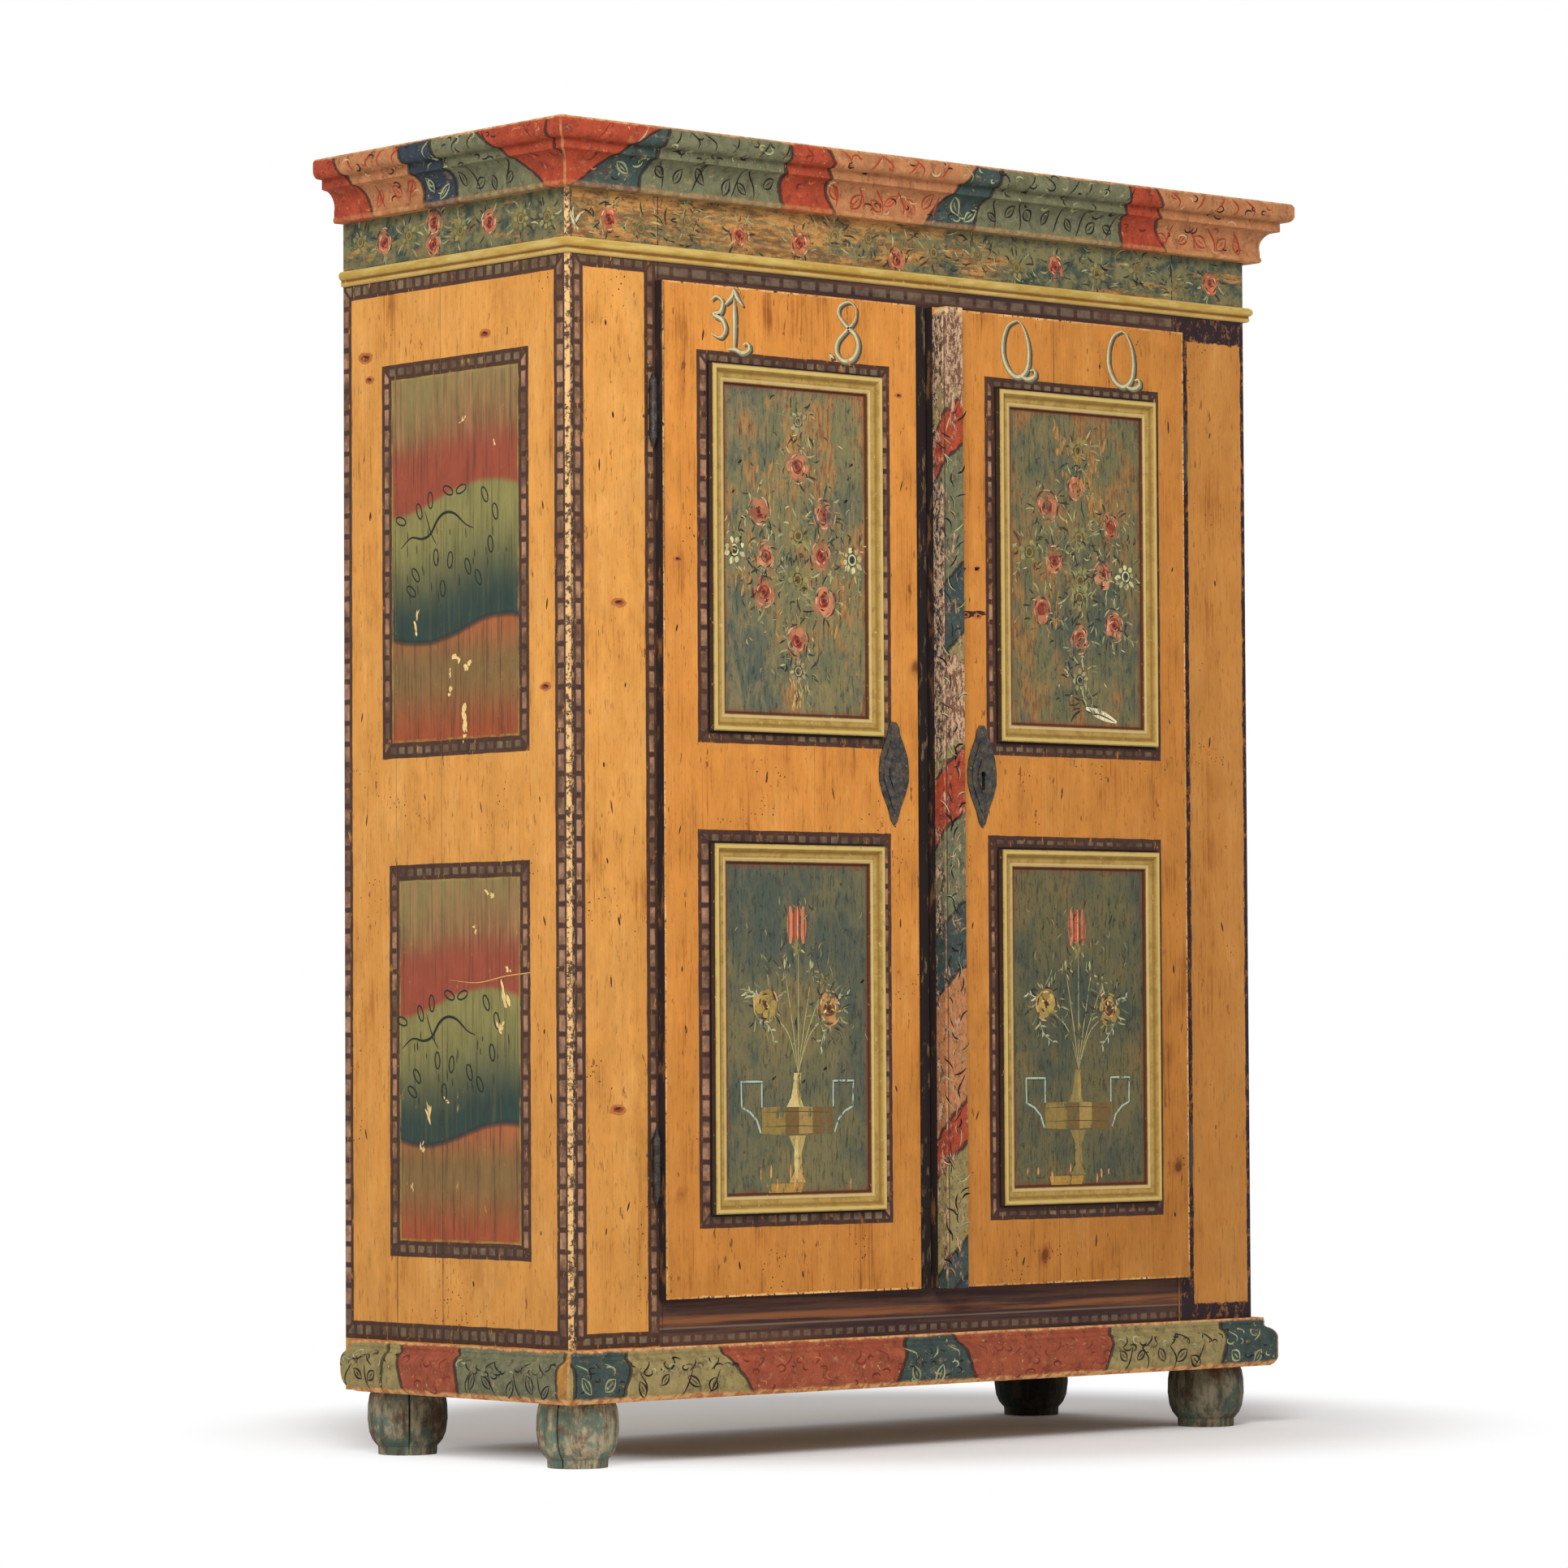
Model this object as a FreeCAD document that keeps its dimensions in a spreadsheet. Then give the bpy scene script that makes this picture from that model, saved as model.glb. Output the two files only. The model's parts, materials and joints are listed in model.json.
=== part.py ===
import FreeCAD, Part

import math
import os

import Sketcher

# A painted two-door cupboard on four turned feet.
# Millimetres. The origin is on the floor under the middle of the cupboard, +Z is up, and the
# doors face -Y. Every piece is one object of the document, sized and placed from the sheet.

SIZES = [
    # case
    ("case_width", 1250.0),
    ("case_depth", 478.0),
    ("top_thickness", 18.0),
    ("side_thickness", 24.0),
    ("side_front_plank", 240.0),
    ("side_middle_plank", 98.0),
    ("plank_gap", 0.2),
    ("back_thickness", 16.0),
    ("back_rebate", 12.0),
    # front frame
    ("stile_thickness", 26.0),
    ("left_stile_width", 154.0),
    ("right_stile_width", 147.5),
    ("stile_arris", 5.0),
    ("bottom_rail_height", 135.5),
    ("bottom_rail_recess", 2.0),
    ("opening_height", 1318.5),
    ("top_rail_height", 183.0),
    ("tenon_thickness", 9.0),
    ("tenon_length", 45.0),
    ("tenon_shoulder", 18.0),
    ("mortise_clearance", 0.1),
    # feet
    ("foot_height", 85.0),
    ("foot_radius", 54.0),
    ("foot_inset", 49.5),
    ("front_foot_setback", 47.5),
    ("back_foot_setback", 71.0),
    ("foot_tenon_radius", 15.0),
    ("foot_tenon_length", 62.0),
    ("foot_tenon_clearance", 0.2),
    ("foot_block_size", 95.0),
    ("foot_split_width", 2.4),
    ("foot_split_depth", 19.0),
    # inside
    ("floor_thickness", 22.0),
    ("floor_drop", 8.0),
    ("shelf_thickness", 20.0),
    ("shelf_setback", 48.0),
    ("shelf_clearance", 0.3),
    ("lower_shelf_height", 540.0),
    ("middle_shelf_height", 880.0),
    ("upper_shelf_height", 1220.0),
    ("cleat_height", 30.0),
    ("cleat_width", 22.0),
    ("cleat_end_gap", 20.0),
    # mouldings of the case
    ("cornice_projection", 51.0),
    ("cornice_height", 84.0),
    ("bead_projection", 8.0),
    ("bead_height", 21.0),
    ("frieze_height", 64.5),
    ("plinth_projection", 24.5),
    ("plinth_height", 68.0),
    ("plinth_end_gap", 20.0),
    ("plinth_end_round", 30.0),
    # doors
    ("door_proud", 15.0),
    ("door_depth", 12.0),
    ("door_lip", 6.0),
    ("door_lip_gap", 0.8),
    ("door_clearance", 2.0),
    ("meeting_gap", 3.0),
    ("meeting_rebate_width", 25.0),
    ("meeting_rebate_depth", 8.0),
    ("astragal_width", 39.0),
    ("astragal_proud", 20.0),
    ("astragal_arris", 2.5),
    ("astragal_chip_width", 9.0),
    ("astragal_chip_height", 15.0),
    ("batten_width", 60.0),
    ("batten_thickness", 16.0),
    ("batten_inset", 215.0),
    ("batten_end_gap", 62.0),
    ("batten_arris", 4.0),
    ("dovetail_depth", 6.0),
    ("dovetail_flare", 3.0),
    # mouldings of the doors
    ("frame_width", 301.0),
    ("frame_moulding_width", 24.0),
    ("frame_moulding_proud", 9.5),
    ("left_frame_shift", 11.5),
    ("right_frame_shift", 32.25),
    ("lower_frame_rise", 108.5),
    ("upper_frame_drop", 104.0),
    ("frame_gap", 148.0),
    # escutcheons
    ("escutcheon_width", 54.0),
    ("escutcheon_height", 140.0),
    ("escutcheon_plate", 1.6),
    ("escutcheon_step", 1.1),
    ("left_escutcheon_inset", 73.0),
    ("right_escutcheon_inset", 89.5),
    ("lock_rise", 693.0),
    ("keyhole_radius", 4.2),
    ("keyhole_slot_width", 5.6),
    ("keyhole_slot_height", 18.0),
    # hinges
    ("hinge_side_offset", 8.0),
    ("hinge_standoff", 6.0),
    ("hinge_radius", 5.5),
    ("hinge_pin_radius", 3.0),
    ("hinge_pin_clearance", 0.05),
    ("hinge_knuckle_height", 38.0),
    ("hinge_knuckle_gap", 0.2),
    ("hinge_bore_depth", 34.0),
    ("hinge_finial_height", 12.0),
    ("hinge_leaf_thickness", 2.2),
    ("hinge_leaf_reach", 30.0),
    ("hinge_leaf_depth", 24.0),
    ("hinge_leaf_height", 32.0),
    ("hinge_slot_clearance", 0.1),
    ("upper_hinge_inset", 170.0),
    ("lower_hinge_inset", 172.5),
    # lock
    ("lock_width", 110.0),
    ("lock_height", 76.0),
    ("lock_depth", 18.0),
    ("lock_wall", 2.0),
    ("lock_edge_gap", 3.0),
    ("lock_bolt_length", 80.0),
    ("lock_bolt_height", 12.0),
    ("lock_bolt_thickness", 6.0),
    ("lock_bolt_standoff", 8.0),
    ("lock_bolt_rise", 22.0),
    ("lock_bolt_nose", 1.0),
    ("lock_bolt_clearance", 0.25),
    ("keeper_width", 24.0),
    ("keeper_wall", 3.0),
    ("keeper_edge_gap", 3.0),
    # slide bolts of the left door
    ("slide_bolt_width", 8.0),
    ("slide_bolt_length", 170.0),
    ("slide_bolt_travel", 22.0),
    ("slide_bolt_inset", 40.0),
    ("slide_bolt_end_gap", 2.0),
    ("slide_bolt_clearance", 0.05),
    ("slide_bolt_hole_clearance", 0.5),
    ("guide_plate_thickness", 2.0),
    ("guide_plate_width", 26.0),
    ("guide_plate_length", 150.0),
    ("guide_lug_length", 16.0),
    ("guide_lug_wall", 2.5),
    ("bolt_knob_radius", 5.0),
    ("bolt_knob_length", 14.0),
    # cutting tools reach this far past what they cut
    ("overrun", 2.0),
]

BACK_BOARDS = 4
TOP_BOARDS = 3
FLOOR_BOARDS = 2

LEFT_JOINT_SHARE = 0.4565
RIGHT_JOINT_SHARE = 0.4838
LOWER_FRAME_SHARE = 0.501

FRONT_LEFT_SPLIT_ANGLE = -158.7
BACK_LEFT_SPLIT_ANGLE = -125.0

# Outlines. Each corner is a share across, a share up, and the bulge of the stretch that leaves
# it: its rise as a share of its chord, outwards where positive, and nought for a straight one.
# They run counterclockwise. Projections run towards -1.

# Rings of a turned foot as shares of its radius and its height: base ring, cove and belly.
FOOT_RING_SHARES = [
    (0.73, 0.0),
    (0.74, 0.13),
    (0.78, 0.155),
    (0.875, 0.23),
    (0.955, 0.35),
    (1.0, 0.56),
    (0.99, 0.78),
    (0.955, 0.92),
    (0.905, 1.0),
]
FOOT_FLAT_COUNT = 24
TENON_FLAT_COUNT = 8

CORNICE_SHARES = [
    (-0.294, 0.0, 0.0),
    (0.0, 0.0, 0.0),
    (0.0, 1.0, 0.0),
    (-0.92, 1.0, 0.14),
    (-1.0, 0.905, 0.0),
    (-1.0, 0.786, 0.14),
    (-0.863, 0.685, 0.0),
    (-0.706, 0.679, 0.0),
    (-0.706, 0.524, 0.0),
    (-0.51, 0.5, -0.16),
    (-0.304, 0.19, 0.0),
    (-0.304, 0.095, 0.22),
]

BEAD_SHARES = [
    (-0.12, 0.0, 0.0),
    (0.0, 0.0, 0.0),
    (0.0, 1.0, 0.0),
    (-0.12, 1.0, 0.45),
    (-0.44, 0.405, 0.0),
    (-0.44, 0.31, 0.3),
]

PLINTH_SHARES = [
    (-0.65, 0.0, 0.0),
    (0.0, 0.0, 0.0),
    (0.0, 1.0, 0.0),
    (-0.41, 1.0, 0.0),
    (-0.45, 0.897, -0.2),
    (-0.57, 0.794, 0.18),
    (-1.0, 0.544, 0.0),
    (-1.0, 0.235, 0.15),
]

FRAME_SHARES = [
    (-1.0, 0.0, 0.0),
    (0.0, 0.0, 0.0),
    (0.0, 0.28, 0.0),
    (-0.12, 0.36, 0.2),
    (-0.29, 0.36, 0.0),
    (-0.33, 0.42, -0.14),
    (-0.72, 0.86, 0.0),
    (-0.75, 1.0, 0.0),
    (-0.93, 1.0, 0.0),
    (-1.0, 0.84, 0.0),
]

# Right half of the escutcheon from its lower tip up, as shares of half the width and the height
ESCUTCHEON_SHARES = [
    (0.0, 0.0),
    (0.22, 0.05),
    (0.42, 0.17),
    (0.78, 0.31),
    (0.98, 0.43),
    (1.0, 0.54),
    (0.92, 0.66),
    (0.66, 0.79),
    (0.42, 0.88),
    (0.36, 0.95),
    (0.16, 1.0),
]
ESCUTCHEON_STEP_SHARES = (1.0, 0.7, 0.34)

# Rings of a hinge's forged point as shares of the barrel's radius and of its own height
FINIAL_SHARES = [
    (0.97, 0.0),
    (0.72, 0.3),
    (0.16, 1.0),
]
FINIAL_FLAT_COUNT = 8

# The rise of a quarter circle over its chord
QUARTER_BULGE = (math.sqrt(2) - 1) / 2

TURN_LEFT = FreeCAD.Rotation(FreeCAD.Vector(0, 0, 1), -90)
TURN_RIGHT = FreeCAD.Rotation(FreeCAD.Vector(0, 0, 1), 90)


class Length:
    """A length with its value and the sheet formula that gives it."""

    def __init__(self, value, formula):
        self.value = value
        self.formula = formula

    def __add__(self, other):
        return Length(self.value + other.value, f"({self.formula} + {other.formula})")

    def __sub__(self, other):
        return Length(self.value - other.value, f"({self.formula} - {other.formula})")

    def __neg__(self):
        return Length(-self.value, f"(0 - {self.formula})")

    def __mul__(self, share):
        return Length(self.value * share, f"({self.formula} * {share!r})")

    def __rmul__(self, share):
        return self * share

    def __truediv__(self, count):
        return Length(self.value / count, f"({self.formula} / {count!r})")


class Sheet:
    """The driving dimensions, each one a Length of the sheet's name for it."""

    def __init__(self, document, sizes):
        page = document.addObject("Spreadsheet::Sheet", "Sizes")
        for row, (name, value) in enumerate(sizes, start=1):
            page.set(f"A{row}", name)
            page.set(f"B{row}", str(value))
            page.setAlias(f"B{row}", name)
            setattr(self, name, Length(value, f"Sizes.{name}"))


doc = FreeCAD.newDocument("Cupboard")
s = Sheet(doc, SIZES)
doc.recompute()
none = Length(0.0, "0")
nodes = []

# Places that several pieces share

front = (s.cornice_projection - s.case_depth) / 2
back = front + s.case_depth
half_width = s.case_width / 2
case_height = s.bottom_rail_height + s.opening_height + s.top_rail_height
case_bottom = s.foot_height
case_top = case_bottom + case_height
inner_half = half_width - s.side_thickness
left_opening = half_width - s.left_stile_width
right_opening = half_width - s.right_stile_width
opening_bottom = case_bottom + s.bottom_rail_height
opening_top = opening_bottom + s.opening_height
stile_back = front + s.stile_thickness
back_front = back - s.back_thickness
floor_top = opening_bottom - s.floor_drop
floor_bottom = floor_top - s.floor_thickness
door_bottom = opening_bottom - s.door_lip
door_top = opening_top + s.door_lip
door_height = door_top - door_bottom
frame_room = door_height - s.lower_frame_rise - s.upper_frame_drop - s.frame_gap
lower_frame_height = frame_room * LOWER_FRAME_SHARE
upper_frame_height = frame_room - lower_frame_height
door_face = front - s.door_proud
door_back = front + s.door_depth
lock_level = door_bottom + s.lock_rise
upper_batten_level = door_top - s.batten_inset
lower_batten_level = door_bottom + s.batten_inset
hinge_levels = (door_bottom + s.lower_hinge_inset, door_top - s.upper_hinge_inset)
hinge_depth = front - s.hinge_standoff
left_hinge_side = -(left_opening + s.door_lip + s.hinge_side_offset)
right_hinge_side = right_opening + s.door_lip + s.hinge_side_offset
slide_bolt_side = -s.slide_bolt_inset
slide_bolt_depth = door_back + s.guide_plate_thickness + (s.slide_bolt_width + s.guide_lug_wall) / 2


def node(item, label):
    """Names a finished sub-part and lists it for writing."""
    item.Label = label
    nodes.append(item)
    return item


def place(item, base, rotation=None):
    """Puts an item at a place that follows the sheet."""
    turn = rotation or FreeCAD.Rotation()
    spot = FreeCAD.Vector(base[0].value, base[1].value, base[2].value)
    item.Placement = FreeCAD.Placement(spot, turn)
    for axis, length in zip("xyz", base):
        item.setExpression(f"Placement.Base.{axis}", length.formula)


def box(name, low, high):
    """A plain block between two opposite corners."""
    block = doc.addObject("Part::Box", name)
    for side, start, end in zip(("Length", "Width", "Height"), low, high):
        block.setExpression(side, (end - start).formula)
    place(block, low)
    return block


def rod(name, base, radius, length, rotation=None):
    """A plain round bar from the middle of its first end."""
    bar = doc.addObject("Part::Cylinder", name)
    bar.setExpression("Radius", radius.formula)
    bar.setExpression("Height", length.formula)
    place(bar, base, rotation)
    return bar


def cut(name, base, tools):
    """What is left of a base when the tools are taken from it."""
    result = doc.addObject("Part::Cut", name)
    result.Base = base
    result.Tool = tools[0] if len(tools) == 1 else group(name + "_tools", tools)
    return result


def fuse(name, items):
    """Several shapes joined into one solid."""
    result = doc.addObject("Part::MultiFuse", name)
    result.Shapes = items
    return result


def group(name, items):
    """Separate solids under one name."""
    result = doc.addObject("Part::Compound", name)
    result.Links = items
    return result


def body(name):
    """An empty part to be built from sketches."""
    return doc.addObject("PartDesign::Body", name)


def origin_plane(owner, role):
    """One of the three origin planes of a body."""
    for feature in owner.Origin.OriginFeatures:
        if feature.Role == role:
            return feature
    return None


def stretch(start, end, bulge):
    """The curve from one corner to the next, and which of its ends comes first."""
    chord = end - start
    if bulge == 0:
        return Part.LineSegment(start, end), (1, 2)
    radius = chord.Length * (1 + 4 * bulge * bulge) / (8 * abs(bulge))
    outward = FreeCAD.Vector(chord.y, -chord.x, 0).normalize()
    apex = (start + end) * 0.5 + outward * (bulge * chord.Length)
    towards_centre = -radius if bulge > 0 else radius
    centre = apex + outward * towards_centre
    circle = Part.Circle(centre, FreeCAD.Vector(0, 0, 1), radius)
    first, last = (start, end) if bulge > 0 else (end, start)
    start_angle = math.atan2(first.y - centre.y, first.x - centre.x)
    end_angle = math.atan2(last.y - centre.y, last.x - centre.x)
    if end_angle < start_angle:
        end_angle += 2 * math.pi
    ends = (1, 2) if bulge > 0 else (2, 1)
    return Part.ArcOfCircle(circle, start_angle, end_angle), ends


def outline(sketch, corners):
    """Draws a closed outline and ties every corner and arc of it to the sheet."""
    spots = [FreeCAD.Vector(across.value, up.value, 0) for across, up, bulge in corners]
    pieces = []
    for index, corner in enumerate(corners):
        following = spots[(index + 1) % len(spots)]
        curve, ends = stretch(spots[index], following, corner[2])
        pieces.append((sketch.addGeometry(curve, False), ends))
    rules = []
    formulas = []
    for index, (across, up, bulge) in enumerate(corners):
        curve, ends = pieces[index]
        later = (index + 1) % len(corners)
        next_curve, next_ends = pieces[later]
        rules.append(Sketcher.Constraint("Coincident", curve, ends[1], next_curve, next_ends[0]))
        formulas.append(None)
        rules.append(Sketcher.Constraint("DistanceX", -1, 1, curve, ends[0], across.value))
        formulas.append(across.formula)
        rules.append(Sketcher.Constraint("DistanceY", -1, 1, curve, ends[0], up.value))
        formulas.append(up.formula)
        if bulge != 0:
            run = corners[later][0] - across
            rise = corners[later][1] - up
            radius_share = (1 + 4 * bulge * bulge) / (8 * abs(bulge))
            chord = (spots[later] - spots[index]).Length
            rules.append(Sketcher.Constraint("Radius", curve, chord * radius_share))
            formulas.append(f"hypot({run.formula}; {rise.formula}) * {radius_share!r}")
    first = sketch.ConstraintCount
    sketch.addConstraint(rules)
    for index, formula in enumerate(formulas, start=first):
        if formula:
            sketch.setExpression(f"Constraints[{index}]", formula)


def sketch_on(owner, role, name, outlines, offset=None):
    """A sketch of closed outlines on an origin plane, moved out along it if asked."""
    sketch = owner.newObject("Sketcher::SketchObject", name)
    sketch.AttachmentSupport = [(origin_plane(owner, role), "")]
    sketch.MapMode = "FlatFace"
    if offset:
        sketch.AttachmentOffset.Base = FreeCAD.Vector(0, 0, offset.value)
        sketch.setExpression("AttachmentOffset.Base.z", offset.formula)
    for corners in outlines:
        outline(sketch, corners)
    return sketch


def pad(owner, sketch, length, side="One side"):
    """Raises a sketch into a solid."""
    feature = owner.newObject("PartDesign::Pad", sketch.Name + "_pad")
    feature.Profile = sketch
    feature.SideType = side
    feature.setExpression("Length", length.formula)
    sketch.Visibility = False
    return feature


def pocket(owner, sketch):
    """Cuts a sketch right through the body, both ways."""
    feature = owner.newObject("PartDesign::Pocket", sketch.Name + "_pocket")
    feature.Profile = sketch
    feature.SideType = "Symmetric"
    feature.Type = "ThroughAll"
    sketch.Visibility = False
    return feature


def revolve(owner, sketch):
    """Turns a sketch round its own upright axis."""
    feature = owner.newObject("PartDesign::Revolution", sketch.Name + "_turned")
    feature.Profile = sketch
    feature.ReferenceAxis = (sketch, ["V_Axis"])
    feature.Angle = 360.0
    sketch.Visibility = False
    return feature


def scaled(shares, across, up):
    """An outline of shares at its real size."""
    return [(across * a, up * b, bulge) for a, b, bulge in shares]


def rectangle(low_across, low_up, high_across, high_up):
    """The four corners of a rectangle, counterclockwise."""
    return [
        (low_across, low_up, 0),
        (high_across, low_up, 0),
        (high_across, high_up, 0),
        (low_across, high_up, 0),
    ]


def mitre_waste(half, depth, end):
    """The triangle that a mitre at one end of a strip takes away, seen along its height."""
    over = s.overrun
    corners = [
        (half - depth - over, over, 0),
        (half + over, -(depth + over), 0),
        (half + over, over, 0),
    ]
    return [(across * end, up, 0) for across, up, bulge in corners]


def strip(name, shares, projection, height, long_length, mitred_ends, round_end=None):
    """A moulded strip along X. It projects to -Y, and its long side is the outer one."""
    owner = body(name)
    section = sketch_on(owner, "YZ_Plane", name + "_section", [scaled(shares, projection, height)])
    pad(owner, section, long_length, "Symmetric")
    half = long_length / 2
    wastes = [mitre_waste(half, projection, end) for end in mitred_ends]
    pocket(owner, sketch_on(owner, "XY_Plane", name + "_mitre", wastes))
    if round_end:
        radius = s.plinth_end_round
        corner = [
            (half - radius, -s.overrun, 0),
            (half + s.overrun, -s.overrun, 0),
            (half + s.overrun, radius, 0),
            (half, radius, 0),
            (half - radius, none, 0),
        ]
        corner[3] = (half, radius, -QUARTER_BULGE if round_end > 0 else QUARTER_BULGE)
        turned = [(across * round_end, up, bulge) for across, up, bulge in corner]
        pocket(owner, sketch_on(owner, "XZ_Plane", name + "_round", [turned]))
    return owner


def ring(name, radius, level, count):
    """A level ring of a count of short flats, as a section of something turned."""
    section = doc.addObject("Part::RegularPolygon", name)
    section.Polygon = count
    section.setExpression("Circumradius", radius.formula)
    place(section, (none, none, level))
    return section


def turned(name, rings, count):
    """A solid drawn through level rings, each with its radius and its height."""
    loft = doc.addObject("Part::Loft", name)
    loft.Sections = [
        ring(f"{name}_ring_{index}", radius, level, count) for index, (radius, level) in enumerate(rings)
    ]
    loft.Solid = True
    loft.Ruled = True
    return loft


def make_foot(label, across, depth, split_angle):
    """A turned foot with its base ring, cove and belly, and a whittled tenon for its block."""
    rings = [(s.foot_radius * a, s.foot_height * b) for a, b in FOOT_RING_SHARES]
    belly = turned(label + "_belly", rings, FOOT_FLAT_COUNT)
    tenon_rings = [
        (s.foot_tenon_radius, s.foot_height - s.overrun),
        (s.foot_tenon_radius, s.foot_height + s.foot_tenon_length),
    ]
    tenon = turned(label + "_tenon", tenon_rings, TENON_FLAT_COUNT)
    whole = fuse(label + "_turning", [belly, tenon])
    place(whole, (across, depth, none))
    if split_angle is None:
        return node(whole, label)
    half_split = s.foot_split_width / 2
    reach = s.foot_radius + s.overrun
    low = (s.foot_radius - s.foot_split_depth, -half_split, -s.overrun)
    high = (reach, half_split, s.foot_height + s.overrun)
    split = box(label + "_split", low, high)
    swung = group(label + "_split_swung", [split])
    turn = FreeCAD.Rotation(FreeCAD.Vector(0, 0, 1), split_angle)
    place(swung, (across, depth, none), turn)
    return node(cut(label, whole, [swung]), label)


def make_feet():
    """Four feet, and the corner blocks bored for their tenons."""
    left = -(half_width - s.foot_inset)
    right = half_width - s.foot_inset
    front_row = front + s.front_foot_setback
    back_row = back - s.back_foot_setback
    make_foot("foot_front_left", left, front_row, FRONT_LEFT_SPLIT_ANGLE)
    make_foot("foot_front_right", right, front_row, None)
    make_foot("foot_back_left", left, back_row, BACK_LEFT_SPLIT_ANGLE)
    make_foot("foot_back_right", right, back_row, None)
    blocks = []
    size = s.foot_block_size
    hole_radius = s.foot_tenon_radius + s.foot_tenon_clearance
    hole_depth = s.foot_tenon_length + s.overrun + s.overrun
    for side, sign, across in (("left", -1, left), ("right", 1, right)):
        outer = inner_half * sign
        inner = (inner_half - size) * sign
        low_x, high_x = (outer, inner) if sign < 0 else (inner, outer)
        rows = (("front", front_row, stile_back), ("back", back_row, back_front - size))
        for row, depth, start in rows:
            name = f"foot_block_{row}_{side}"
            low = (low_x, start, case_bottom)
            high = (high_x, start + size, floor_bottom)
            block = box(name + "_blank", low, high)
            bore = rod(name + "_bore", (across, depth, case_bottom - s.overrun), hole_radius, hole_depth)
            blocks.append(cut(name, block, [bore]))
    node(group("foot_blocks", blocks), "foot_blocks")


def make_sides():
    """Both sides, each of three upright planks, the rear one rebated for the back boards."""
    first = stile_back + s.side_front_plank
    second = first + s.side_middle_plank
    spans = (
        ("front", stile_back, first - s.plank_gap),
        ("middle", first, second - s.plank_gap),
        ("rear", second, back),
    )
    for side, sign in (("left", -1), ("right", 1)):
        outer = half_width * sign
        inner = inner_half * sign
        low_x, high_x = (outer, inner) if sign < 0 else (inner, outer)
        for row, start, end in spans:
            label = f"side_{side}_{row}_plank"
            plank = box(label + "_blank", (low_x, start, case_bottom), (high_x, end, case_top))
            if row != "rear":
                node(plank, label)
                continue
            rebate_inner = (inner_half - s.overrun) * sign
            rebate_outer = (inner_half + s.back_rebate) * sign
            low_r, high_r = (rebate_outer, rebate_inner) if sign < 0 else (rebate_inner, rebate_outer)
            rebate = box(
                label + "_rebate",
                (low_r, back_front, case_bottom - s.overrun),
                (high_r, back + s.overrun, case_top + s.overrun),
            )
            node(cut(label, plank, [rebate]), label)


def tenon_span(start, end):
    """The height of a rail's tenon between its two shoulders."""
    return start + s.tenon_shoulder, end - s.tenon_shoulder


def make_stile(side, sign, opening, hinge_side):
    """A front stile with its outer arris, the mortises for both rails and the hinge slots."""
    label = f"stile_{side}"
    owner = body(label + "_blank")
    arris = s.stile_arris
    corners = [
        (opening * sign, none, 0),
        ((half_width - arris) * sign, none, 0),
        (half_width * sign, arris, 0),
        (half_width * sign, s.stile_thickness, 0),
        (opening * sign, s.stile_thickness, 0),
    ]
    plan = sketch_on(owner, "XY_Plane", label + "_plan", [corners])
    pad(owner, plan, case_height)
    place(owner, (none, front, case_bottom))
    tools = []
    clear = s.mortise_clearance
    middle = front + s.stile_thickness / 2
    half_tenon = s.tenon_thickness / 2 + clear
    near = (opening - s.overrun) * sign
    far = (opening + s.tenon_length + clear) * sign
    low_x, high_x = (far, near) if sign < 0 else (near, far)
    for rail, start, end in (("bottom", case_bottom, opening_bottom), ("top", opening_top, case_top)):
        low_z, high_z = tenon_span(start, end)
        tools.append(
            box(
                f"{label}_{rail}_mortise",
                (low_x, middle - half_tenon, low_z - clear),
                (high_x, middle + half_tenon, high_z + clear),
            )
        )
    half_slot = s.hinge_leaf_thickness / 2 + s.hinge_slot_clearance
    for position, level in zip(("lower", "upper"), hinge_levels):
        low_z = level - s.hinge_leaf_height - s.hinge_slot_clearance
        tools.append(
            box(
                f"{label}_{position}_slot",
                (hinge_side - half_slot, front - s.overrun, low_z),
                (
                    hinge_side + half_slot,
                    hinge_depth + s.hinge_leaf_depth + s.hinge_slot_clearance,
                    level + s.hinge_slot_clearance,
                ),
            )
        )
    node(cut(label, owner, tools), label)


def make_rail(label, low_z, high_z, recess, bolt_hole):
    """A rail between the stiles with a tenon at each end and the hole for the door's bolt."""
    start = front + recess
    rail = box(label + "_board", (-left_opening, start, low_z), (right_opening, stile_back, high_z))
    middle = front + s.stile_thickness / 2
    half_tenon = s.tenon_thickness / 2
    tenon_low, tenon_high = tenon_span(low_z, high_z)
    tenons = box(
        label + "_tenons",
        (-(left_opening + s.tenon_length), middle - half_tenon, tenon_low),
        (right_opening + s.tenon_length, middle + half_tenon, tenon_high),
    )
    joined = fuse(label + "_with_tenons", [rail, tenons])
    node(cut(label, joined, [bolt_hole]), label)


def bolt_way(name, clearance, low_z, high_z):
    """The square way of a slide bolt, wider than the bolt by a clearance all round."""
    half = s.slide_bolt_width / 2 + clearance
    low = (slide_bolt_side - half, slide_bolt_depth - half, low_z)
    high = (slide_bolt_side + half, slide_bolt_depth + half, high_z)
    return box(name, low, high)


def make_front():
    """Stiles and rails, joined by mortise and tenon."""
    make_stile("left", -1, left_opening, left_hinge_side)
    make_stile("right", 1, right_opening, right_hinge_side)
    hole_depth = s.slide_bolt_travel + s.overrun
    hole_bottom = opening_bottom - hole_depth
    hole_top = opening_top + hole_depth
    lower = bolt_way("bottom_bolt_hole", s.slide_bolt_hole_clearance, hole_bottom, opening_bottom + s.overrun)
    upper = bolt_way("top_bolt_hole", s.slide_bolt_hole_clearance, opening_top - s.overrun, hole_top)
    make_rail("bottom_rail", case_bottom, opening_bottom, s.bottom_rail_recess, lower)
    make_rail("top_rail", opening_top, case_top, none, upper)


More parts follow.
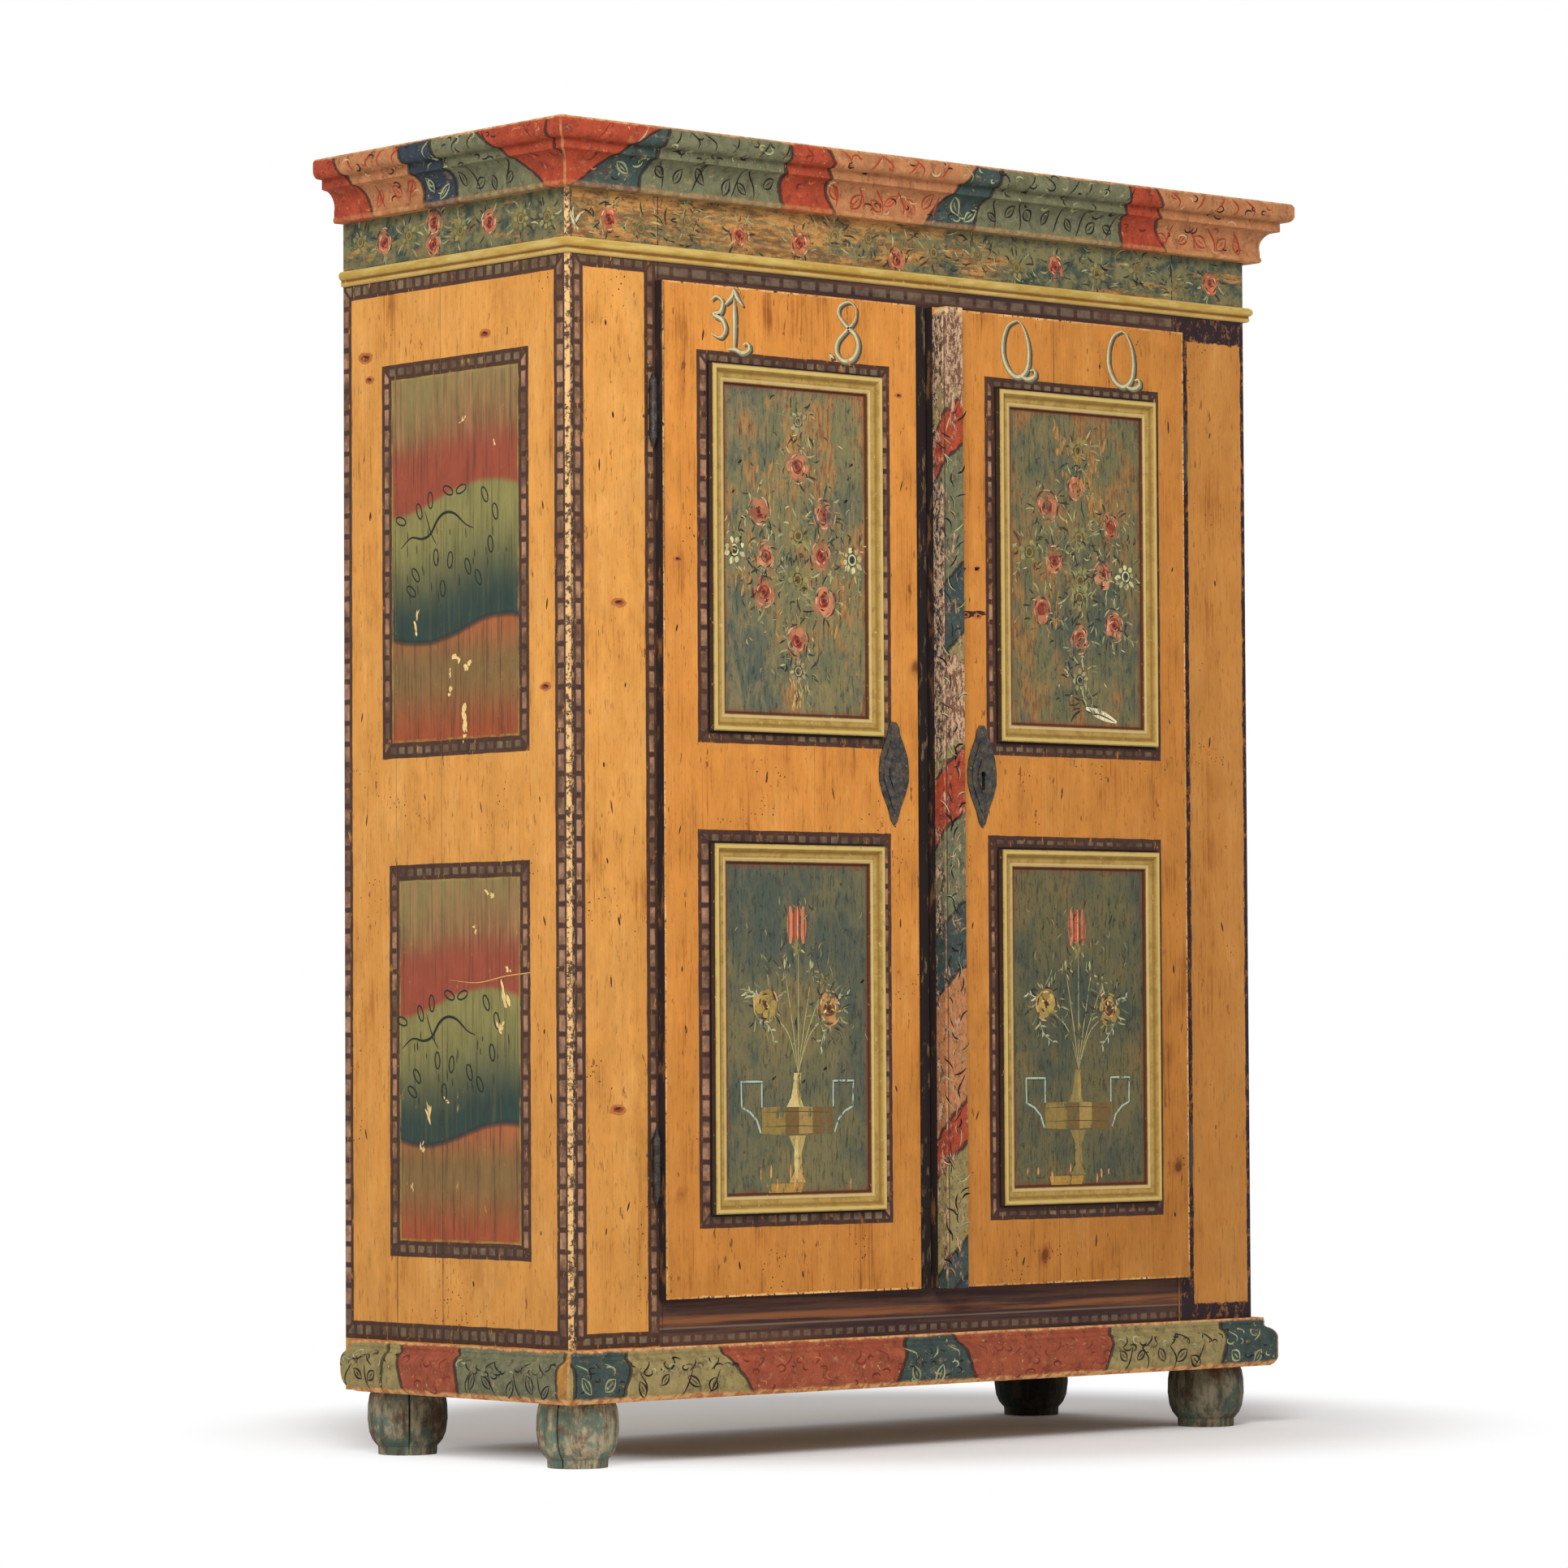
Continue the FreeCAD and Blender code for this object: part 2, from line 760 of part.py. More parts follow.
def boards_in_row(name, count, low, high, axis):
    """Boards side by side that share one span, with a shrinkage gap between them."""
    step = (high[axis] - low[axis]) / count
    boards = []
    for index in range(count):
        start = list(low)
        end = list(high)
        start[axis] = low[axis] + step * index
        end[axis] = low[axis] + step * (index + 1)
        if index < count - 1:
            end[axis] = end[axis] - s.plank_gap
        boards.append(box(f"{name}_{index + 1}", start, end))
    return node(group(name, boards), name)


def make_inside():
    """Floor, back, top, and the shelves on their cleats."""
    boards_in_row(
        "floor_boards",
        FLOOR_BOARDS,
        (-inner_half, stile_back, floor_bottom),
        (inner_half, back_front, floor_top),
        1,
    )
    rebated_half = inner_half + s.back_rebate
    boards_in_row(
        "back_boards",
        BACK_BOARDS,
        (-rebated_half, back_front, case_bottom),
        (rebated_half, back, case_top),
        0,
    )
    boards_in_row(
        "top_boards",
        TOP_BOARDS,
        (-half_width, front, case_top),
        (half_width, back, case_top + s.top_thickness),
        1,
    )
    shelf_front = front + s.shelf_setback
    shelf_half = inner_half - s.shelf_clearance
    shelf_back = back_front - s.shelf_clearance
    cleats = []
    levels = (
        ("lower", s.lower_shelf_height),
        ("middle", s.middle_shelf_height),
        ("upper", s.upper_shelf_height),
    )
    for position, level in levels:
        shelf = box(
            f"shelf_{position}",
            (-shelf_half, shelf_front, level - s.shelf_thickness),
            (shelf_half, shelf_back, level),
        )
        node(shelf, f"shelf_{position}")
        top = level - s.shelf_thickness
        for side, sign in (("left", -1), ("right", 1)):
            outer = inner_half * sign
            inner = (inner_half - s.cleat_width) * sign
            low_x, high_x = (outer, inner) if sign < 0 else (inner, outer)
            low = (low_x, shelf_front + s.cleat_end_gap, top - s.cleat_height)
            high = (high_x, shelf_back - s.cleat_end_gap, top)
            cleats.append(box(f"cleat_{position}_{side}", low, high))
    node(group("shelf_cleats", cleats), "shelf_cleats")


def make_surround(label, shares, projection, height, level, end_gap, round_end):
    """A moulding round the front and both sides, mitred at the front corners."""
    run = s.case_width + projection * 2
    ahead = strip(f"{label}_front", shares, projection, height, run, (-1, 1))
    place(ahead, (none, front, level))
    node(ahead, f"{label}_front")
    depth_run = s.case_depth + projection - end_gap
    middle = front - projection + depth_run / 2
    sides = (("left", TURN_LEFT, -half_width, 1), ("right", TURN_RIGHT, half_width, -1))
    for side, turn, across, front_end in sides:
        rounded = -front_end if round_end else None
        piece = strip(f"{label}_{side}", shares, projection, height, depth_run, (front_end,), rounded)
        place(piece, (across, middle, level), turn)
        node(piece, f"{label}_{side}")


def make_case_mouldings():
    """Plinth, bead and cornice."""
    make_surround(
        "plinth", PLINTH_SHARES, s.plinth_projection, s.plinth_height, case_bottom, s.plinth_end_gap, True
    )
    cornice_bottom = case_top + s.top_thickness - s.cornice_height
    bead_bottom = cornice_bottom - s.frieze_height - s.bead_height
    make_surround("bead", BEAD_SHARES, s.bead_projection, s.bead_height, bead_bottom, none, False)
    make_surround(
        "cornice", CORNICE_SHARES, s.cornice_projection, s.cornice_height, cornice_bottom, none, False
    )


def groove_corners(level):
    """The dovetail groove across the back of a plank, seen from its end."""
    floor = s.door_depth - s.dovetail_depth
    narrow = s.batten_width / 2
    wide = narrow + s.dovetail_flare
    over = s.door_depth + s.overrun
    return [
        (floor, level - wide, 0),
        (s.door_depth, level - narrow, 0),
        (over, level - narrow, 0),
        (over, level + narrow, 0),
        (s.door_depth, level + narrow, 0),
        (floor, level + wide, 0),
    ]


def keyhole_corners(across):
    """A round hole with a slot under it."""
    half_slot = s.keyhole_slot_width / 2
    radius = s.keyhole_radius
    rise = radius.value + math.sqrt(radius.value ** 2 - half_slot.value ** 2)
    bulge = rise / s.keyhole_slot_width.value
    return [
        (across - half_slot, lock_level - s.keyhole_slot_height, 0),
        (across + half_slot, lock_level - s.keyhole_slot_height, 0),
        (across + half_slot, lock_level, bulge),
        (across - half_slot, lock_level, 0),
    ]


def make_plank(label, sign, plan, keyhole, hinge_side):
    """A door plank: its plan drawn up, then lips, dovetail grooves and cut-outs taken out."""
    owner = body(label + "_blank" if hinge_side else label)
    corners = [(across * sign, depth, 0) for across, depth in plan]
    pad(owner, sketch_on(owner, "XY_Plane", label + "_plan", [corners], door_bottom), door_height)
    lip_back = -s.door_lip_gap
    over = s.door_depth + s.overrun
    low = opening_bottom + s.door_clearance
    high = opening_top - s.door_clearance
    cross_cuts = [
        rectangle(lip_back, door_bottom - s.overrun, over, low),
        rectangle(lip_back, high, over, door_top + s.overrun),
        groove_corners(upper_batten_level),
        groove_corners(lower_batten_level),
    ]
    pocket(owner, sketch_on(owner, "YZ_Plane", label + "_cross_cuts", cross_cuts))
    if keyhole:
        pocket(owner, sketch_on(owner, "XZ_Plane", label + "_keyhole", [keyhole]))
    place(owner, (none, front, none))
    if not hinge_side:
        return node(owner, label)
    slots = []
    half_slot = s.hinge_leaf_thickness / 2 + s.hinge_slot_clearance
    tip = hinge_side - (s.hinge_leaf_reach + s.hinge_slot_clearance) * sign
    low_x, high_x = (hinge_side, tip) if sign < 0 else (tip, hinge_side)
    for position, level in zip(("lower", "upper"), hinge_levels):
        slots.append(
            box(
                f"{label}_{position}_slot",
                (low_x, hinge_depth - half_slot, level),
                (
                    high_x,
                    hinge_depth + half_slot,
                    level + s.hinge_knuckle_gap + s.hinge_leaf_height + s.hinge_slot_clearance,
                ),
            )
        )
    return node(cut(label, owner, slots), label)


def make_batten(label, sign, opening, level):
    """A batten whose dovetail tongue fills the groove, and whose proud part stops short."""
    owner = body(label)
    span = opening - s.door_clearance - s.meeting_gap
    middle = (s.meeting_gap + span / 2) * sign
    floor = -s.dovetail_depth
    narrow = s.batten_width / 2
    wide = narrow + s.dovetail_flare
    tongue = [
        (floor, -wide, 0),
        (none, -narrow, 0),
        (none, narrow, 0),
        (floor, wide, 0),
    ]
    pad(owner, sketch_on(owner, "YZ_Plane", label + "_tongue", [tongue]), span, "Symmetric")
    arris = s.batten_arris
    depth = s.batten_thickness
    proud = [
        (none, -narrow, 0),
        (depth - arris, -narrow, 0),
        (depth, arris - narrow, 0),
        (depth, narrow - arris, 0),
        (depth - arris, narrow, 0),
        (none, narrow, 0),
    ]
    short_span = span - s.batten_end_gap * 2
    pad(owner, sketch_on(owner, "YZ_Plane", label + "_proud", [proud]), short_span, "Symmetric")
    place(owner, (middle, door_back, level))
    node(owner, label)


def make_frame(label, middle, low_z, height):
    """Four mitred lengths of moulding on the face of a door."""
    width = s.frame_moulding_width
    proud = s.frame_moulding_proud
    half = s.frame_width / 2 - width
    centre = low_z + height / 2
    half_height = height / 2 - width
    runs = (
        ("top", 180, s.frame_width, (middle, door_face, centre + half_height)),
        ("bottom", 0, s.frame_width, (middle, door_face, centre - half_height)),
        ("left", 90, height, (middle - half, door_face, centre)),
        ("right", -90, height, (middle + half, door_face, centre)),
    )
    lie = FreeCAD.Rotation(FreeCAD.Vector(1, 0, 0), 90)
    pieces = []
    for side, angle, length, spot in runs:
        piece = strip(f"{label}_{side}", FRAME_SHARES, width, proud, length, (-1, 1))
        turn = FreeCAD.Rotation(FreeCAD.Vector(0, 1, 0), angle)
        place(piece, spot, turn.multiply(lie))
        pieces.append(piece)
    node(group(label, pieces), label)


def escutcheon_corners(share, middle):
    """The outline of the plate, drawn in about its own middle by a share."""
    half = s.escutcheon_width / 2 * share
    height = s.escutcheon_height * share
    low = lock_level - height / 2
    right = [(half * a, low + height * b) for a, b in ESCUTCHEON_SHARES]
    left = [(-across, up) for across, up in reversed(right[1:])]
    return [(middle + across, up, 0) for across, up in right + left]


def make_escutcheon(label, middle, keyhole):
    """A long leaf-shaped plate in three steps that rise to a ridge."""
    owner = body(label)
    thickness = s.escutcheon_plate
    for index, share in enumerate(ESCUTCHEON_STEP_SHARES, start=1):
        step = sketch_on(owner, "XZ_Plane", f"{label}_step_{index}", [escutcheon_corners(share, middle)])
        pad(owner, step, thickness)
        thickness = thickness + s.escutcheon_step
    if keyhole:
        pocket(owner, sketch_on(owner, "XZ_Plane", label + "_keyhole", [keyhole]))
    place(owner, (none, door_face, none))
    node(owner, label)


def knuckle(name, sign):
    """Half a hinge barrel with its blind bore and its forged point."""
    owner = body(name + "_barrel")
    bore = s.hinge_pin_radius + s.hinge_pin_clearance
    corners = [
        (bore, none, 0),
        (s.hinge_radius, none, 0),
        (s.hinge_radius, s.hinge_knuckle_height, 0),
        (none, s.hinge_knuckle_height, 0),
        (none, s.hinge_bore_depth, 0),
        (bore, s.hinge_bore_depth, 0),
    ]
    corners = [(across, up * sign, 0) for across, up, bulge in corners]
    revolve(owner, sketch_on(owner, "XZ_Plane", name + "_outline", [corners]))
    rings = [
        (s.hinge_radius * a, (s.hinge_knuckle_height + s.hinge_finial_height * b) * sign)
        for a, b in FINIAL_SHARES
    ]
    return fuse(name, [owner, turned(name + "_finial", rings, FINIAL_FLAT_COUNT)])


def make_hinges(side, sign, across):
    """The frame halves, door halves and pins of the two hinges of one door."""
    frame_parts = []
    door_parts = []
    pins = []
    half_leaf = s.hinge_leaf_thickness / 2
    wall = (s.hinge_pin_radius + s.hinge_radius) / 2
    for position, level in zip(("lower", "upper"), hinge_levels):
        name = f"{side}_{position}_hinge"
        upper_level = level + s.hinge_knuckle_gap
        lower = knuckle(name + "_frame_knuckle", -1)
        place(lower, (across, hinge_depth, level))
        frame_leaf = box(
            name + "_frame_leaf",
            (across - half_leaf, hinge_depth + wall, level - s.hinge_leaf_height),
            (across + half_leaf, hinge_depth + s.hinge_leaf_depth, level),
        )
        frame_parts.append(fuse(name + "_frame_half", [lower, frame_leaf]))
        upper = knuckle(name + "_door_knuckle", 1)
        place(upper, (across, hinge_depth, upper_level))
        near = across - wall * sign
        tip = across - s.hinge_leaf_reach * sign
        low_x, high_x = (near, tip) if sign < 0 else (tip, near)
        door_leaf = box(
            name + "_door_leaf",
            (low_x, hinge_depth - half_leaf, upper_level),
            (high_x, hinge_depth + half_leaf, upper_level + s.hinge_leaf_height),
        )
        door_parts.append(fuse(name + "_door_half", [upper, door_leaf]))
        pin_length = s.hinge_bore_depth * 2
        base = (across, hinge_depth, level - s.hinge_bore_depth)
        pins.append(rod(name + "_pin", base, s.hinge_pin_radius, pin_length))
    node(group(f"{side}_hinge_frame_halves", frame_parts), f"{side}_hinge_frame_halves")
    node(group(f"{side}_hinge_door_halves", door_parts), f"{side}_hinge_door_halves")
    return pins


def make_left_door():
    """The left door: two planks, battens, mouldings, plate and the seat of the lock bolt."""
    edge = left_opening + s.door_lip
    inner = left_opening - s.door_clearance
    joint = left_opening * LEFT_JOINT_SHARE
    rebate = s.meeting_gap + s.meeting_rebate_width
    gap = s.plank_gap / 2
    face = -s.door_proud
    lip_back = -s.door_lip_gap
    outer_plan = [
        (joint + gap, face),
        (edge, face),
        (edge, lip_back),
        (inner, lip_back),
        (inner, s.door_depth),
        (joint + gap, s.door_depth),
    ]
    inner_plan = [
        (s.meeting_gap, face + s.meeting_rebate_depth),
        (rebate, face + s.meeting_rebate_depth),
        (rebate, face),
        (joint - gap, face),
        (joint - gap, s.door_depth),
        (s.meeting_gap, s.door_depth),
    ]
    make_plank("left_door_outer_plank", -1, outer_plan, None, left_hinge_side)
    make_plank("left_door_inner_plank", -1, inner_plan, None, None)
    make_batten("left_door_upper_batten", -1, left_opening, upper_batten_level)
    make_batten("left_door_lower_batten", -1, left_opening, lower_batten_level)
    middle = -(left_opening / 2 + s.left_frame_shift)
    make_frame(
        "left_door_upper_moulding",
        middle,
        door_top - s.upper_frame_drop - upper_frame_height,
        upper_frame_height,
    )
    make_frame(
        "left_door_lower_moulding", middle, door_bottom + s.lower_frame_rise, lower_frame_height
    )
    make_escutcheon("left_escutcheon", -s.left_escutcheon_inset, None)
    make_keeper()
    make_bolt_guides()


def make_keeper():
    """The box staple on the left door that the lock bolt enters."""
    wall = s.keeper_wall
    clear = s.lock_bolt_clearance
    right = -(s.meeting_gap + s.keeper_edge_gap)
    left = right - s.keeper_width
    level = lock_level + s.lock_bolt_rise
    half_height = s.lock_bolt_height / 2 + clear
    near = door_back + s.lock_bolt_standoff - s.lock_bolt_thickness / 2 - clear
    far = near + s.lock_bolt_thickness + clear * 2
    block = box(
        "lock_keeper_blank",
        (left, door_back, level - half_height - wall),
        (right, far + wall, level + half_height + wall),
    )
    way = box(
        "lock_keeper_way",
        (left - s.overrun, near, level - half_height),
        (right + s.overrun, far, level + half_height),
    )
    node(cut("lock_keeper", block, [way]), "lock_keeper")


def make_bolt_guides():
    """A plate with two slotted lugs for each slide bolt, and the bolts in them."""
    guides = []
    half_plate = s.guide_plate_width / 2
    half_lug = s.slide_bolt_width / 2 + s.slide_bolt_clearance + s.guide_lug_wall
    quarter = FreeCAD.Rotation(FreeCAD.Vector(1, 0, 0), -90)
    rest_gap = s.door_clearance + s.slide_bolt_end_gap
    for position, end, sign in (("top", opening_top, 1), ("bottom", opening_bottom, -1)):
        name = f"{position}_bolt"
        tip = end - rest_gap * sign
        tail = tip - s.slide_bolt_length * sign
        plate_end = tip - s.slide_bolt_end_gap * sign
        plate_tail = plate_end - s.guide_plate_length * sign
        low_z, high_z = (plate_tail, plate_end) if sign > 0 else (plate_end, plate_tail)
        plate = box(
            name + "_plate",
            (slide_bolt_side - half_plate, door_back, low_z),
            (slide_bolt_side + half_plate, door_back + s.guide_plate_thickness, high_z),
        )
        lugs = []
        for lug, base in (("lower", low_z), ("upper", high_z - s.guide_lug_length)):
            lugs.append(
                box(
                    f"{name}_{lug}_lug",
                    (slide_bolt_side - half_lug, door_back, base),
                    (slide_bolt_side + half_lug, slide_bolt_depth + half_lug, base + s.guide_lug_length),
                )
            )
        joined = fuse(name + "_guide_blank", [plate] + lugs)
        way_low = low_z - s.overrun
        way = bolt_way(name + "_guide_way", s.slide_bolt_clearance, way_low, high_z + s.overrun)
        guides.append(cut(name + "_guide", joined, [way]))
        bar_low, bar_high = (tail, tip) if sign > 0 else (tip, tail)
        bar = bolt_way(name + "_bar", none, bar_low, bar_high)
        knob_level = (low_z + high_z) / 2 - s.slide_bolt_travel / 2 * sign
        knob = rod(
            name + "_knob",
            (slide_bolt_side, slide_bolt_depth, knob_level),
            s.bolt_knob_radius,
            s.bolt_knob_length,
            quarter,
        )
        node(fuse(name, [bar, knob]), name)
    node(group("bolt_guides", guides), "bolt_guides")


def make_right_door():
    """The right door: two planks, battens, mouldings, cover strip, plate and lock."""
    edge = right_opening + s.door_lip
    inner = right_opening - s.door_clearance
    joint = right_opening * RIGHT_JOINT_SHARE
    gap = s.plank_gap / 2
    face = -s.door_proud
    lip_back = -s.door_lip_gap
    outer_plan = [
        (joint + gap, face),
        (edge, face),
        (edge, lip_back),
        (inner, lip_back),
        (inner, s.door_depth),
        (joint + gap, s.door_depth),
    ]
    inner_plan = [
        (s.meeting_gap, face),
        (joint - gap, face),
        (joint - gap, s.door_depth),
        (s.meeting_gap, s.door_depth),
    ]
    keyhole = keyhole_corners(s.right_escutcheon_inset)
    make_plank("right_door_outer_plank", 1, outer_plan, None, right_hinge_side)
    make_plank("right_door_inner_plank", 1, inner_plan, keyhole, None)
    make_batten("right_door_upper_batten", 1, right_opening, upper_batten_level)
    make_batten("right_door_lower_batten", 1, right_opening, lower_batten_level)
    middle = right_opening / 2 + s.right_frame_shift
    make_frame(
        "right_door_upper_moulding",
        middle,
        door_top - s.upper_frame_drop - upper_frame_height,
        upper_frame_height,
    )
    make_frame(
        "right_door_lower_moulding", middle, door_bottom + s.lower_frame_rise, lower_frame_height
    )
    make_escutcheon("right_escutcheon", s.right_escutcheon_inset, keyhole)
    make_astragal()
    make_lock()


def make_astragal():
    """The cover strip on the meeting edge, with its rounded arrises and a broken corner."""
    owner = body("astragal")
    low = s.meeting_gap
    high = low + s.astragal_width
    outer = -s.astragal_proud
    arris = s.astragal_arris
    corners = [
        (low + arris, outer, 0),
        (high - arris, outer, QUARTER_BULGE),
        (high, outer + arris, 0),
        (high, none, 0),
        (low, none, 0),
        (low, outer + arris, QUARTER_BULGE),
    ]
    pad(owner, sketch_on(owner, "XY_Plane", "astragal_plan", [corners], door_bottom), door_height)
    over = s.overrun
    chip = [
        (low - over, door_top - s.astragal_chip_height, 0),
        (low + s.astragal_chip_width, door_top + over, 0),
        (low - over, door_top + over, 0),
    ]
    pocket(owner, sketch_on(owner, "XZ_Plane", "astragal_chip", [chip]))
    place(owner, (none, door_face, none))
    node(owner, "astragal")


def make_lock():
    """The lock case on the back of the right door, open towards it, and its bolt."""
    left = s.meeting_gap + s.lock_edge_gap
    right = left + s.lock_width
    half_height = s.lock_height / 2
    wall = s.lock_wall
    case = box(
        "lock_case_blank",
        (left, door_back, lock_level - half_height),
        (right, door_back + s.lock_depth, lock_level + half_height),
    )
    room = box(
        "lock_case_room",
        (left + wall, door_back - s.overrun, lock_level - half_height + wall),
        (right - wall, door_back + s.lock_depth - wall, lock_level + half_height - wall),
    )
    clear = s.lock_bolt_clearance
    level = lock_level + s.lock_bolt_rise
    near = door_back + s.lock_bolt_standoff - s.lock_bolt_thickness / 2
    far = near + s.lock_bolt_thickness
    low_z = level - s.lock_bolt_height / 2
    high_z = level + s.lock_bolt_height / 2
    way = box(
        "lock_case_way",
        (left - s.overrun, near - clear, low_z - clear),
        (left + wall + s.overrun, far + clear, high_z + clear),
    )
    node(cut("lock_case", case, [room, way]), "lock_case")
    start = left - s.lock_bolt_nose
    bolt = box("lock_bolt", (start, near, low_z), (start + s.lock_bolt_length, far, high_z))
    node(bolt, "lock_bolt")


def check_document():
    """Stops if any object failed or any sub-part has no sound shape."""
    for item in doc.Objects:
        if "Invalid" in item.State or "Error" in item.State:
            raise RuntimeError(f"{item.Label} did not build: {item.State}")
    for item in nodes:
        if item.Shape.isNull() or not item.Shape.isValid():
            raise RuntimeError(f"{item.Label} has no valid shape")
        if not item.Shape.Solids:
            raise RuntimeError(f"{item.Label} has no solid")


def write_parts():
    """Writes each sub-part to a file with its own name."""
    os.makedirs("parts", exist_ok=True)
    for item in nodes:
        item.Shape.exportStep(f"parts/{item.Label}.step")


make_feet()
make_sides()
make_front()
make_inside()
make_case_mouldings()
make_left_door()
make_right_door()
hinge_pins = make_hinges("left", -1, left_hinge_side)
hinge_pins += make_hinges("right", 1, right_hinge_side)
node(group("hinge_pins", hinge_pins), "hinge_pins")
doc.recompute()
check_document()
write_parts()
for item in nodes:
    bounds = item.Shape.BoundBox
    print(f"{item.Label}: {len(item.Shape.Solids)} solids, {item.Shape.Volume / 1e6:.4f} dm3, z {bounds.ZMin:.1f}")
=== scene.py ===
import json
import math
import random

import bpy
from mathutils import Matrix, Vector
from mathutils.bvhtree import BVHTree


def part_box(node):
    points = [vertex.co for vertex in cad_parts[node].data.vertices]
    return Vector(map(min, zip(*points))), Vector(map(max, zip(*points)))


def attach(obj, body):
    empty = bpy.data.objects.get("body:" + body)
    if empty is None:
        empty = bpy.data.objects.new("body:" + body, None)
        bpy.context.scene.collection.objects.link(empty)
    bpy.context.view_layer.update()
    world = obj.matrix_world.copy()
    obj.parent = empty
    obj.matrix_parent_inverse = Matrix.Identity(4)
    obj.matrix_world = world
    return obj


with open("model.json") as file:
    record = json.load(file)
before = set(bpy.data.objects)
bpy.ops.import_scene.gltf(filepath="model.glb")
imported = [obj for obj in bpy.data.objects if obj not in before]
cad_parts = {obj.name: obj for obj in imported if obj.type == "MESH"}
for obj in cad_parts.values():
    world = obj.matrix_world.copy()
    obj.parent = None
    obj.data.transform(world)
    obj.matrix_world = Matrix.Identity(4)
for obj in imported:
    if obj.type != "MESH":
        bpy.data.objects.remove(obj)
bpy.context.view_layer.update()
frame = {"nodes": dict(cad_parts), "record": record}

MM = 0.001


# ---------------------------------------------------------------------------------------
# Shader arithmetic: a Field is a number, a colour or a vector that a material works out
# at each point of a surface.

class Field:
    def __init__(self, socket):
        self.socket = socket

    def __add__(self, other):
        return work("ADD", self, other)

    def __radd__(self, other):
        return work("ADD", other, self)

    def __sub__(self, other):
        return work("SUBTRACT", self, other)

    def __rsub__(self, other):
        return work("SUBTRACT", other, self)

    def __mul__(self, other):
        return work("MULTIPLY", self, other)

    def __rmul__(self, other):
        return work("MULTIPLY", other, self)

    def __truediv__(self, other):
        return work("DIVIDE", self, other)


def feed(socket, value):
    """Links a field to a socket, or sets the socket to a plain value."""
    if isinstance(value, Field):
        socket.id_data.links.new(value.socket, socket)
    elif isinstance(value, tuple) and socket.type == "RGBA":
        socket.default_value = (*value, 1.0)
    else:
        socket.default_value = value


def new_node(values, kind):
    """A node in the tree that the fields among these values belong to."""
    tree = next(value.socket.id_data for value in values if isinstance(value, Field))
    return tree.nodes.new(kind)


def work(operation, *values):
    node = new_node(values, "ShaderNodeMath")
    node.operation = operation
    for socket, value in zip(node.inputs, values):
        feed(socket, value)
    return Field(node.outputs[0])


def folded(operation, values):
    """One value worked out from several, two at a time."""
    result = values[0]
    for value in values[1:]:
        result = work(operation, result, value)
    return result


def lowest(*values):
    return folded("MINIMUM", values)


def highest(*values):
    return folded("MAXIMUM", values)


def size_of(value):
    return work("ABSOLUTE", value)


def fade(value, start, end):
    """Nought at start, one at end, and smooth in between."""
    node = new_node([value], "ShaderNodeMapRange")
    node.interpolation_type = "SMOOTHSTEP"
    for socket, item in zip(node.inputs, (value, start, end, 0.0, 1.0)):
        feed(socket, item)
    return Field(node.outputs[0])


def span(value, low, high, soft):
    """One between low and high."""
    return fade(value, low - soft, low + soft) * fade(value, high + soft, high - soft)


def mixed(under, over, share, kind):
    node = new_node([under, over, share], "ShaderNodeMix")
    node.data_type = "RGBA"
    node.blend_type = kind
    feed(node.inputs[0], share)
    feed(node.inputs[6], under)
    feed(node.inputs[7], over)
    return Field(node.outputs[2])


def blend(under, over, share):
    """Two colours mixed by a share."""
    return mixed(under, over, share, "MIX")


def shade(colour, amount):
    """A colour made darker or lighter by a factor."""
    grey = new_node([colour, amount], "ShaderNodeCombineColor")
    for socket in grey.inputs:
        feed(socket, amount)
    return mixed(colour, Field(grey.outputs[0]), 1.0, "MULTIPLY")


def changed(operation, point, amounts):
    node = new_node([point], "ShaderNodeVectorMath")
    node.operation = operation
    feed(node.inputs[0], point)
    node.inputs[1].default_value = amounts
    return Field(node.outputs[0])


def stretched(point, *scales):
    return changed("MULTIPLY", point, scales)


def moved(point, *steps):
    return changed("ADD", point, steps)


def grain(point, scale, detail=2.0, roughness=0.5, distortion=0.0):
    """Smooth noise between nought and one, with one scale or a scale for each axis."""
    if isinstance(scale, tuple):
        point, scale = stretched(point, *scale), 1.0
    node = new_node([point], "ShaderNodeTexNoise")
    feed(node.inputs["Vector"], point)
    for name, value in (
        ("Scale", scale), ("Detail", detail), ("Roughness", roughness), ("Distortion", distortion),
    ):
        node.inputs[name].default_value = value
    return Field(node.outputs["Fac"])


def cells(point, scale):
    """Distance to the nearest of many scattered dots."""
    node = new_node([point], "ShaderNodeTexVoronoi")
    feed(node.inputs["Vector"], point)
    node.inputs["Scale"].default_value = scale
    return Field(node.outputs["Distance"])


def depth_inside(u, z, low_u, high_u, low_z, high_z):
    """How far a place lies inside a rectangle."""
    return lowest(u - low_u, high_u - u, z - low_z, high_z - z)


def rgb(red, green, blue):
    """A colour as seen on a screen, 0 to 255, in the renderer's own numbers."""
    def linear(level):
        level /= 255
        return level / 12.92 if level <= 0.04045 else ((level + 0.055) / 1.055) ** 2.4
    return (linear(red), linear(green), linear(blue))


